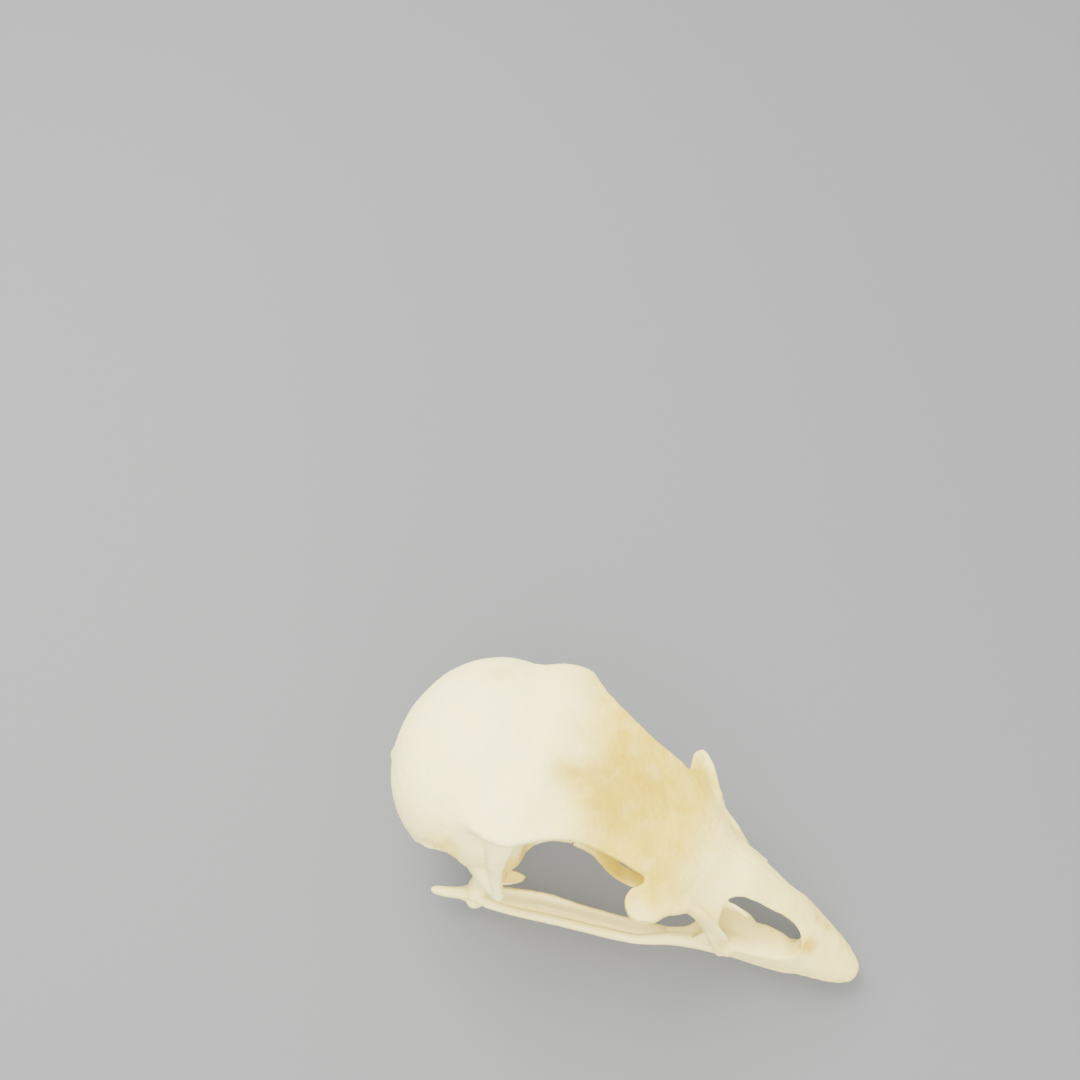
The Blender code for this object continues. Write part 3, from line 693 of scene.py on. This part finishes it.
def roof_form():
    """The vaulted plate between the orbits, its underside narrower towards the rear."""
    rings = []
    for s, wide, edge, middle, thick in smooth(ROOF_STATIONS):
        top, under = [], []
        narrow = ROOF_UNDERSIDE - ROOF_NARROWING * max(0.0, ROOF_NARROWING_FRONT - s)
        for j in range(ROOF_STEPS + 1):
            share = -1 + 2 * j / ROOF_STEPS
            z = middle + (edge - middle) * abs(share) ** ROOF_CURVE
            rim = thick * (1 - ROOF_RIM_THINNING * abs(share))
            top.append((s, wide * share, z))
            under.append((s, wide * share * narrow, z - rim))
        rings.append(top + under[::-1])
    return loft("roof", rings)


def septum_forms():
    """The plate between the orbits with its window, the rod below it and the block in front."""
    plate = panel("septum_plate", SEPTUM_OUTLINE, SEPTUM_THICK)
    window = ball("septum_window", WINDOW_CENTRE, WINDOW_RADII, WINDOW_PITCH)
    return [cut_mesh(plate, [window]), bar("rostrum", ROSTRUM, 1), *balls(ETHMOID)]


def lacrimal_form(side):
    """A thin lobe that droops outwards and slopes down to the front."""
    edge = smooth(LACRIMAL_OUTLINES[side], LOBE_STEPS, loop=True)
    rings = []
    for lift in (-LOBE_HALF_THICK, LOBE_HALF_THICK):
        ring = []
        for s, y in edge:
            z = LOBE_HEIGHT - LOBE_DROOP * max(y - LOBE_ROOT, 0.0) - LOBE_SLOPE * (s - LOBE_REAR)
            z -= LOBE_FALL * max(s - LOBE_FRONT, 0.0)
            ring.append((s, y * side, z + lift))
        rings.append(ring)
    return loft("lacrimal_lobe", rings)


def arch(s, wide, low, high, rise):
    """One section of the bill, an arch over a floor that rises in the middle.

    Near the nasals it leans back, slimmer on the left and fuller on the right.
    """
    behind = max(0.0, LEAN_FRONT - s)
    lean = NASAL_LEAN * behind
    near = min(behind, 4.0)
    ring = []
    for j in range(ARCH_STEPS + 1):
        turn = math.pi * j / ARCH_STEPS
        left = turn < math.pi / 2
        power = ARCH_POWER if left else ARCH_POWER - ARCH_FULLER * near
        reach = wide - ARCH_SLIMMER * near if left else wide
        y = reach * math.copysign(abs(math.cos(turn)) ** power, math.cos(turn))
        z = low + (high - low) * abs(math.sin(turn)) ** power
        ring.append((s + lean * (LEAN_HEIGHT - z), y, z))
    for j in range(1, PALATE_STEPS):
        share = -1 + 2 * j / PALATE_STEPS
        z = low + rise * (1 - share**2)
        ring.append((s + lean * (LEAN_HEIGHT - z), wide * share, z))
    return ring


def bill_form():
    return loft("bill", [arch(*row, PALATE_RISE) for row in smooth(BILL_STATIONS)])


def bill_openings():
    """The room inside the bill and the two nostrils."""
    rooms = []
    for s, wide, low, high in smooth(BILL_STATIONS[:5]):
        wall = BILL_WALL * (1.0 + max(0.0, s - BILL_WALL_FRONT) * BILL_WALL_GROWTH)
        top = max(high - wall, low + PALATE_RISE)
        rooms.append(arch(s, max(wide - wall, 0.6), low - PALATE_RISE, top, 0.0))
    rooms.insert(0, [(BILL_ROOM_REAR, y, z) for _, y, z in rooms[0]])
    room = loft("bill_room", rooms)
    edge = smooth(NOSTRIL_OUTLINE, loop=True)
    nostrils = []
    for side in (1, -1):
        drop, span = NOSTRIL_DROP[side], NOSTRIL_SPAN[side]
        inner, outer = [], []
        for s, z in edge:
            s = NOSTRIL_REAR + (s - NOSTRIL_REAR) * span
            high = min(max((z - NOSTRIL_MIDDLE) / 5.0, 0.0), 1.0)
            lift = NOSTRIL_LIFT + NOSTRIL_SLANT * high * high * (3.0 - 2.0 * high)
            z -= drop * min(max((z - NOSTRIL_MIDDLE) / 2.0, 0.0), 1.0)
            inner.append((s, NOSTRIL_INNER * side, z))
            outer.append((s, NOSTRIL_REACH * side, z + lift))
        nostrils.append(loft("nostril", [inner, outer]))
    return [room] + nostrils


def places(item):
    """Station, side and height of each vertex, in millimetres."""
    flat = np.empty(len(item.data.vertices) * 3)
    item.data.vertices.foreach_get("co", flat)
    spots = flat.reshape(-1, 3) / MM
    spots[:, 0] += LENGTH / 2
    spots[:, 1] -= MID_PLANE + bow(spots[:, 0])
    return spots


def ramp(values, low, high):
    """0 below low, 1 above high and a smooth step between."""
    share = np.clip((values - low) / (high - low), 0.0, 1.0)
    return share * share * (3.0 - 2.0 * share)


def melt(item, weights, rounds):
    """Smooths the surface where the weights are high."""
    group = item.vertex_groups.new(name="melt")
    steps = np.round(weights * MELT_LEVELS).astype(int)
    for step in range(1, MELT_LEVELS + 1):
        chosen = np.flatnonzero(steps == step)
        if len(chosen):
            group.add(chosen.tolist(), step / MELT_LEVELS, "REPLACE")
    ease = item.modifiers.new("Melt", "SMOOTH")
    ease.factor = 0.5
    ease.iterations = rounds
    ease.vertex_group = "melt"
    settle(item)
    item.vertex_groups.clear()
    return item


def vault_form():
    """The braincase, the roof and the bill, run into one another, with the bill's openings."""
    forms = braincase_forms() + [roof_form(), bill_form()]
    vault = fuse("vault", forms, VAULT_VOXEL, 1)
    spots = places(vault)
    s, side, z = spots[:, 0], np.abs(spots[:, 1]), spots[:, 2]
    # the surface is smoothed at the back of the roof, along its middle and at the bill's hinge
    back = (1.0 - ramp(s, 21.0, 25.5)) * ramp(z, 22.0, 25.0)
    top = (1.0 - ramp(side, 4.0, 9.0)) * ramp(z + 0.5 * s, 42.5, 44.5)
    top *= 1.0 - ramp(s, 38.0, 46.0)
    hinge = ramp(s, 44.5, 48.0) * (1.0 - ramp(s, 52.0, 55.0)) * ramp(z + 0.5 * s, 36.0, 39.0)
    melt(vault, np.maximum(np.maximum(back, top), hinge), VAULT_MELT_ROUNDS)
    cut(vault, bill_openings(), "MANIFOLD")
    made = vault.data
    bpy.data.objects.remove(vault)
    return made


def cranium_form():
    """The skull without its quadrates and pterygoids, as one solid."""
    forms = [vault_form()]
    forms.extend(balls(HIND_FORMS))
    forms.extend(septum_forms())
    for side in (1, -1):
        forms.extend(side_forms(side))
    whole = fuse("cranium", forms, SKULL_VOXEL, FUSE_ROUNDS)
    spots = places(whole)
    s, side, z = spots[:, 0], np.abs(spots[:, 1]), spots[:, 2]
    # the lacrimal lobes' roots run smoothly into the roof
    lobe = ramp(s, 41.0, 42.5) * (1.0 - ramp(s, 49.0, 51.0)) * ramp(z, 15.0, 17.0)
    melt(whole, lobe * ramp(side, 5.5, 7.5) * (1.0 - ramp(side, 10.8, 12.2)), LOBE_MELT_ROUNDS)
    openings = [bar("foramen", FORAMEN, 1)]
    for side in (1, -1):
        openings.extend(balls(EAR, side))
    cut(whole, openings, "MANIFOLD")
    return regrid(whole, SKULL_VOXEL, 2)


def condyles(side, clearance=0.0):
    """The quadrate's two feet or, with a clearance, their cups in the jaw."""
    rows = []
    for centre, radii in CONDYLES:
        rows.append(("condyle", centre, [radius + clearance for radius in radii]))
    return balls(rows, side)


def quadrate_form(side, name):
    """The bone between the braincase and the lower jaw."""
    forms = [
        bar("otic", OTIC_PROCESS, side, upright=True),
        bar("orbital", ORBITAL_PROCESS, side),
        *condyles(side),
        *balls(QUADRATE_FOOT, side),
    ]
    return fuse(name, forms, SMALL_VOXEL, FUSE_ROUNDS)


def jaw_form():
    """The lower jaw, its branches joined in a scoop at the front and its underside cut flat."""
    forms = []
    for side in (1, -1):
        forms.append(bar("ramus", RAMUS, side))
        forms.append(bar("ramus_keel", RAMUS_KEEL, side))
        forms.extend(balls(JAW_HEEL, side))
    rings = []
    for s, wide, low, high in smooth(SCOOP):
        ring = []
        for j in range(SCOOP_STEPS):
            turn = 2 * math.pi * j / SCOOP_STEPS
            y = wide * math.cos(turn)
            z = (low + high) / 2 + (high - low) / 2 * math.sin(turn)
            ring.append((s, y, z))
        rings.append(ring)
    forms.append(loft("scoop", rings))
    whole = fuse("lower_jaw", forms, SMALL_VOXEL, FUSE_ROUNDS)
    sockets = [box("ground", (36.5, 0.0, -5.0), (90.0, 60.0, 10.0))]
    for side in (1, -1):
        sockets.extend(condyles(side, CUP_CLEARANCE))
    return cut(whole, sockets, "MANIFOLD")


def waves(spots, size, seed):
    """Soft noise of about -1 to 1, its bumps about this size in millimetres."""
    chance = np.random.default_rng(seed)
    total = np.zeros(len(spots))
    for _ in range(WAVE_COUNT):
        way = chance.normal(size=3)
        way *= 2.0 * math.pi * chance.uniform(0.7, 1.3) / size / np.linalg.norm(way)
        total += np.sin(spots @ way + chance.uniform(0.0, 2.0 * math.pi))
    return total / math.sqrt(2.0 * WAVE_COUNT)


def groove(gap, width):
    """1 on a line and 0 beside it, from the gap to the line."""
    return np.exp(-((gap / width) ** 2))


def mound(spots, centre, radius):
    """1 at the centre, falling to 0 about two radii away."""
    return np.exp(-(((spots - np.array(centre)) ** 2).sum(axis=1)) / radius**2)


def directions(item):
    """The normal of each vertex."""
    flat = np.empty(len(item.data.vertices) * 3)
    item.data.vertex_normals.foreach_get("vector", flat)
    return flat.reshape(-1, 3)


def pores(spots, low, high, count, seed):
    """Small pits strewn over the part of the surface between two corners."""
    chance = np.random.default_rng(seed)
    inside = np.flatnonzero(((spots > np.array(low)) & (spots < np.array(high))).all(axis=1))
    depth = np.zeros(len(spots))
    near = spots[inside]
    found = np.zeros(len(inside))
    for pick in chance.choice(len(inside), min(count, len(inside)), replace=False):
        radius = chance.uniform(0.12, 0.24)
        gap = ((near - near[pick]) ** 2).sum(axis=1)
        found = np.maximum(found, np.exp(-gap / radius**2))
    depth[inside] = found
    return depth


def cranium_relief(spots):
    """Heights of the skull's ridges, sutures and pits over its plain form, in millimetres."""
    s, side, z = spots.T
    far = np.abs(side)
    # the whole surface
    up = 0.05 * waves(spots, 6.0, 3) + 0.025 * waves(spots, 1.7, 4) + 0.010 * waves(spots, 0.8, 5)
    # the roof's grain, and furrows along the mid line
    roof = ramp(s, 25.0, 29.0) * (1.0 - ramp(s, 50.0, 56.0)) * ramp(z + 0.5 * s, 39.0, 41.0)
    up += 0.02 * roof * waves(spots, 1.0, 6)
    crown = ramp(z, 27.0, 30.0) * (1.0 - ramp(s, 22.0, 27.0))
    up -= 0.06 * crown * groove(side, 0.8)
    up -= 0.10 * roof * (1.0 - ramp(s, 40.0, 44.0)) * groove(side, 1.6)
    # the bill's hinge, and the sutures that run forwards from it
    top = ramp(z + 0.5 * s, 39.5, 41.0)
    up -= 0.06 * top * (1.0 - ramp(far, 5.5, 7.5)) * groove(s - 47.6 - 0.02 * far**2, 1.1)
    run = ramp(s, 47.5, 49.0) * (1.0 - ramp(s, 58.0, 61.0)) * top
    up -= 0.06 * run * groove(far - 1.9 + 0.05 * (s - 48.0), 0.25)
    # the lacrimal lobes' sutures and uneven rims
    lobe = ramp(s, 42.0, 43.0) * (1.0 - ramp(s, 47.5, 48.5)) * ramp(z, 15.0, 16.0)
    up -= 0.06 * lobe * groove(far - 8.3 - 0.25 * np.sin(2.4 * s), 0.25)
    up += 0.10 * lobe * ramp(far, 10.5, 12.5) * (0.5 + 0.5 * waves(spots, 2.0, 7))
    # the temporal lines, and the nape's ridge with two knobs
    line = 1.0 - ramp(np.abs(s - 16.5), 5.0, 8.0)
    up += 0.14 * line * ramp(far, 8.0, 10.0) * groove(z - 18.0 - 0.25 * (s - 12.0), 0.7)
    nape = (1.0 - ramp(s, 5.0, 9.0)) * (1.0 - ramp(far, 6.5, 9.0))
    up += 0.16 * nape * groove(z - 20.6 + 0.06 * far**2, 0.8)
    up += 0.40 * mound(spots, (3.1, -5.1, 21.3), 0.85)
    up += 0.22 * mound(spots, (3.1, 5.3, 21.6), 0.8)
    # pits on the roof, the bill's tip and the braincase
    up -= 0.07 * pores(spots, (27.0, -8.0, 20.0), (53.0, 8.0, 32.0), 170, 8)
    up -= 0.12 * pores(spots, (64.0, -4.0, 2.0), (73.0, 4.0, 10.0), 60, 9)
    up -= 0.08 * pores(spots, (3.0, -15.0, 14.0), (27.0, 15.0, 34.0), 120, 10)
    return up


def jaw_relief(spots):
    """Heights of the lower jaw's slits, seams and pits over its plain form, in millimetres."""
    s, _, z = spots.T
    up = 0.035 * waves(spots, 4.0, 11) + 0.02 * waves(spots, 1.5, 12)
    slit = ramp(s, 27.5, 28.5) * (1.0 - ramp(s, 33.5, 35.0))
    up -= 0.22 * slit * groove(z - 3.5 + 0.05 * (s - 30.0), 0.25)
    seam = ramp(s, 36.0, 37.0) * (1.0 - ramp(s, 47.0, 49.0))
    up -= 0.08 * seam * groove(z - 3.0 + 0.10 * (s - 37.0), 0.2)
    up += 0.12 * mound(spots * np.array((1.0, 0.0, 1.0)), (29.5, 0.0, 6.3), 1.2)
    up -= 0.10 * pores(spots, (62.0, -4.0, 0.4), (71.0, 4.0, 3.0), 40, 13)
    return up


def small_relief(spots):
    """A soft unevenness for the small bones, in millimetres."""
    return 0.02 * waves(spots, 2.2, 14) + 0.012 * waves(spots, 0.9, 15)


def emboss(item, relief):
    """Moves each vertex along its normal by the relief, apart from the resting flats."""
    spots = places(item)
    up = relief(spots) * ramp(spots[:, 2], 0.05, 0.5)
    flat = np.empty(len(item.data.vertices) * 3)
    item.data.vertices.foreach_get("co", flat)
    moved = flat.reshape(-1, 3) + directions(item) * (up * MM)[:, None]
    item.data.vertices.foreach_set("co", moved.ravel())
    item.data.update()


def depth_below(item):
    """How far each vertex lies under its surroundings, in millimetres."""
    eased = shown("eased", item.data.copy())
    ease = eased.modifiers.new("Ease", "SMOOTH")
    ease.factor = 0.5
    ease.iterations = HOLLOW_ROUNDS
    settle(eased)
    depth = ((places(eased) - places(item)) * directions(item)).sum(axis=1)
    bpy.data.objects.remove(eased)
    return depth


def stains_of(spots):
    """Where the bone is tan, and where fat has stained it yellow: two values from 0 to 1."""
    s, side, z = spots.T
    # tan from the braincase's front to the hinge, then fainter on the bill and the low bones
    edge = s + 0.30 * side + 1.2 * waves(spots, 7.0, 21)
    tan = ramp(edge, 21.0, 35.5) ** 1.2 * (1.0 - 0.62 * ramp(s, 43.5, 50.0))
    tan *= np.maximum(ramp(z, 9.0, 14.0), (1.0 - ramp(np.abs(side), 4.2, 5.2)) * ramp(z, 6.2, 7.0))
    tan = np.maximum(tan, 0.30 * ramp(s, 50.0, 56.0) + 0.15 * ramp(s, 66.0, 71.0))
    tan = np.maximum(tan, 0.22 * (1.0 - ramp(z, 8.0, 10.0)))
    tan *= 1.0 - 0.5 * ramp(np.abs(side), 9.0, 12.5) * ramp(s, 40.0, 42.0)
    tan = np.clip(tan * (1.0 + 0.15 * waves(spots, 3.0, 22)), 0.0, 1.0)
    # fat where the stains lie, with uneven rims
    fat = np.zeros(len(spots))
    for s_at, side_at, z_at, radius, strength in STAINS:
        fat += strength * mound(spots, (s_at, side_at, z_at), radius)
    fat *= 1.0 + 0.35 * waves(spots, 2.6, 23) + 0.20 * waves(spots, 1.1, 24)
    return tan, 1.0 - np.exp(-STAIN_STRENGTH * np.maximum(fat, 0.0))


def mark(item, name, values):
    """Stores a value for each vertex, which the material reads by name."""
    layer = item.data.attributes.new(name, "FLOAT", "POINT")
    layer.data.foreach_set("value", np.asarray(values, dtype=np.float32))


def recess_shade_of(spots):
    """1 in the places painted yellow as shade: the recesses behind the orbits and round the ears."""
    s, side, z = spots.T
    far = np.abs(side)
    pit = ramp(s, 20.0, 22.5) * (1.0 - ramp(s + 0.5 * z, 34.5, 36.5))
    pit *= ramp(z, 7.2, 9.0) * (1.0 - ramp(z, 20.0, 23.5))
    pit *= ramp(far, 5.0, 8.0) * (1.0 - ramp(far, 13.2, 14.2))
    tall = np.array((1.0, 0.0, 0.55))
    ear = mound(spots * tall, np.array((16.0, 0.0, 19.4)) * tall, 2.7) * ramp(far, 9.0, 10.0)
    ear *= np.where(side < 0.0, 1.3, 0.8) * (1.0 + 0.3 * waves(spots, 2.0, 25))
    return np.clip(pit + ear, 0.0, 1.0)


def node(tree, kind, place, **settings):
    """A new node with its settings."""
    made = tree.nodes.new(kind)
    made.location = place
    for key, value in settings.items():
        setattr(made, key, value)
    return made


def blend(tree, place, amount, first, second):
    """A mix of two colours by a socket's amount, the first a socket or a colour."""
    made = node(tree, "ShaderNodeMix", place, data_type="RGBA", blend_type="MIX", clamp_factor=True)
    tree.links.new(amount, made.inputs[0])
    if isinstance(first, tuple):
        made.inputs[6].default_value = (*first, 1.0)
    else:
        tree.links.new(first, made.inputs[6])
    made.inputs[7].default_value = (*second, 1.0)
    return made.outputs[2]


def sums(tree, place, kind, first, second, third=0.5):
    """One arithmetic node, each side a socket or a number."""
    made = node(tree, "ShaderNodeMath", place, operation=kind)
    for socket, value in zip(made.inputs, (first, second, third)):
        if isinstance(value, bpy.types.NodeSocket):
            tree.links.new(value, socket)
        else:
            socket.default_value = value
    return made.outputs[0]


def grain(tree, place, scale, detail, rough):
    """Noise with this many bumps to the metre, of about 0 to 1."""
    where = tree.nodes["Where"].outputs["Object"]
    made = node(tree, "ShaderNodeTexNoise", place)
    made.inputs["Scale"].default_value = scale
    made.inputs["Detail"].default_value = detail
    made.inputs["Roughness"].default_value = rough
    tree.links.new(where, made.inputs["Vector"])
    return made.outputs["Fac"]


def reads(tree, place, name):
    """The values that mark stored under this name."""
    return node(tree, "ShaderNodeAttribute", place, attribute_name=name).outputs["Fac"]


def stretch(tree, place, source, low, high, to_low=0.0, to_high=1.0):
    """The source's range from low to high, spread over another range."""
    made = node(tree, "ShaderNodeMapRange", place)
    for key, value in (("From Min", low), ("From Max", high), ("To Min", to_low), ("To Max", to_high)):
        made.inputs[key].default_value = value
    tree.links.new(source, made.inputs["Value"])
    return made.outputs["Result"]


def bone_material(name):
    """Dry bone: chalky pale, tan and yellow by the vertex marks, with painted shade in the recesses and
    hollows, real specks and a fine grain.
    """
    made = bpy.data.materials.new(name)
    made.use_nodes = True
    tree = made.node_tree
    shader = tree.nodes["Principled BSDF"]
    node(tree, "ShaderNodeTexCoord", (-1500, 0)).name = "Where"
    cloud = grain(tree, (-1300, 300), CLOUD_SCALE, 4.0, 0.55)
    cloud = stretch(tree, (-1100, 300), cloud, 0.35, 0.68)
    fine = grain(tree, (-1300, 100), GRAIN_SCALE, 5.0, 0.6)
    speck = grain(tree, (-1300, -100), SPECK_SCALE, 3.0, 0.6)
    colour = blend(tree, (-900, 300), reads(tree, (-1100, 500), "tan"), PALE_BONE, TAN_BONE)
    warmth = sums(tree, (-900, 100), "MULTIPLY", cloud, 0.30)
    colour = blend(tree, (-700, 300), warmth, colour, CREAM_BONE)
    colour = blend(tree, (-500, 300), reads(tree, (-700, 500), "fat"), colour, FAT_STAIN)
    # painted shade: yellow in the recesses behind the orbits and round the ears
    recess_shade = sums(tree, (-700, 0), "MULTIPLY", reads(tree, (-900, -60), "recess_shade"), 0.75)
    colour = blend(tree, (-300, 300), recess_shade, colour, RECESS_SHADE_YELLOW)
    # painted shade: darker where the surface lies in a hollow, and where the hinge's real specks are
    shade_and_specks = stretch(tree, (-700, -200), reads(tree, (-900, -260), "shade_and_specks"), 0.02, 0.20, 0.0, 0.55)
    colour = blend(tree, (-100, 300), shade_and_specks, colour, HOLLOW_SHADE_AND_SPECK)
    dust = stretch(tree, (-700, -400), fine, 0.60, 0.78, 0.0, 0.22)
    colour = blend(tree, (100, 300), dust, colour, CREAM_BONE)
    tree.links.new(colour, shader.inputs["Base Color"])
    rough = sums(tree, (-100, 0), "MULTIPLY_ADD", fine, 0.25, 0.42)
    tree.links.new(rough, shader.inputs["Roughness"])
    height = sums(tree, (-500, -500), "MULTIPLY_ADD", speck, 0.35, fine)
    bump = node(tree, "ShaderNodeBump", (-100, -400))
    bump.inputs["Strength"].default_value = 0.35
    bump.inputs["Distance"].default_value = BUMP_DEPTH
    tree.links.new(height, bump.inputs["Height"])
    tree.links.new(bump.outputs["Normal"], shader.inputs["Normal"])
    shader.inputs["Specular IOR Level"].default_value = 0.25
    shader.inputs["Subsurface Weight"].default_value = 0.15
    shader.inputs["Subsurface Radius"].default_value = (1.0, 0.7, 0.45)
    shader.inputs["Subsurface Scale"].default_value = GLOW_DEPTH
    return made


def finish_piece(item, relief, slot, *nodes):
    """Gives a bone its relief, marks and material, and puts it in the place of its nodes."""
    emboss(item, relief)
    spots = places(item)
    tan, fat = stains_of(spots)
    mark(item, "tan", tan)
    mark(item, "fat", fat)
    # painted shade for the recesses behind the orbits and round the ears
    mark(item, "recess_shade", recess_shade_of(spots))
    # the hollow mark: painted shade by how deep each vertex lies, plus the real specks at the bill's
    # hinge
    specks = SPECK_DEPTH * pores(spots, *HINGE_SPECKS, SPECK_COUNT, 31)
    mark(item, "shade_and_specks", depth_below(item) + specks)
    item.data.materials.clear()
    item.data.materials.append(bone_material(f"{item.name}_bone"))
    item.data.shade_smooth()
    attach(item, "root")
    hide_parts(*nodes)


def make_bones():
    """The skull as one piece, then the quadrates, the pterygoids and the lower jaw."""
    skull_nodes = ["braincase", "frontal", "septum", "upper_bill"]
    for side in ("left", "right"):
        skull_nodes += [f"lacrimal_{side}", f"jugal_{side}", f"palatine_{side}"]
    finish_piece(cranium_form(), cranium_relief, "pale_bone", *skull_nodes)
    for side, word in ((1, "left"), (-1, "right")):
        quadrate = quadrate_form(side, f"quadrate_bone_{word}")
        finish_piece(quadrate, small_relief, "cream_bone", f"quadrate_{word}")
        pterygoid = fuse(f"pterygoid_bone_{word}", [bar("pterygoid", PTERYGOID, side)], SMALL_VOXEL, 4)
        finish_piece(pterygoid, small_relief, "cream_bone", f"pterygoid_{word}")
    finish_piece(jaw_form(), jaw_relief, "cream_bone", "jaw_branch_left", "jaw_branch_right", "jaw_tip")


def make_camera():
    """Looks down on the right side, as in the photograph of 1080 by 1080 pixels."""
    lens = bpy.data.cameras.new("camera")
    lens.sensor_width = CAMERA_SENSOR
    lens.lens = CAMERA_LENS
    lens.clip_start = CAMERA_NEAR
    camera = bpy.data.objects.new("camera", lens)
    bpy.context.scene.collection.objects.link(camera)
    turn = Matrix((CAMERA_RIGHT, CAMERA_UP, -Vector(CAMERA_LOOK)))
    camera.matrix_world = turn.transposed().to_4x4()
    camera.location = CAMERA_PLACE
    bpy.context.scene.camera = camera


def make_light(name, place, size, power, colour):
    """A square light that faces the origin."""
    lamp = bpy.data.lights.new(name, "AREA")
    lamp.size = size
    lamp.energy = power
    lamp.color = colour
    item = bpy.data.objects.new(name, lamp)
    item.location = place
    item.rotation_euler = (-Vector(place)).to_track_quat("-Z", "Y").to_euler()
    bpy.context.scene.collection.objects.link(item)


def make_studio():
    """A bright sky and two soft lamps."""
    world = bpy.data.worlds.new("studio")
    world.use_nodes = True
    sky = world.node_tree.nodes["Background"]
    sky.inputs["Color"].default_value = SKY_COLOUR
    sky.inputs["Strength"].default_value = SKY_STRENGTH
    bpy.context.scene.world = world
    for light in LIGHTS:
        make_light(*light)


def make_floor():
    """A plain pale floor, which glows a little to keep the shadows soft."""
    mesh = bpy.data.meshes.new("floor")
    corners = ((-1, -1), (1, -1), (1, 1), (-1, 1))
    points = [(x * FLOOR_HALF, y * FLOOR_HALF, 0.0) for x, y in corners]
    mesh.from_pydata(points, [], [(0, 1, 2, 3)])
    floor = shown("floor", mesh)
    made = bpy.data.materials.new("floor")
    made.use_nodes = True
    shader = made.node_tree.nodes["Principled BSDF"]
    shader.inputs["Base Color"].default_value = FLOOR_COLOUR
    shader.inputs["Emission Color"].default_value = FLOOR_GLOW_COLOUR
    shader.inputs["Emission Strength"].default_value = FLOOR_GLOW
    shader.inputs["Roughness"].default_value = 0.7
    mesh.materials.append(made)


def main():
    make_camera()
    make_studio()
    make_floor()
    make_bones()


main()
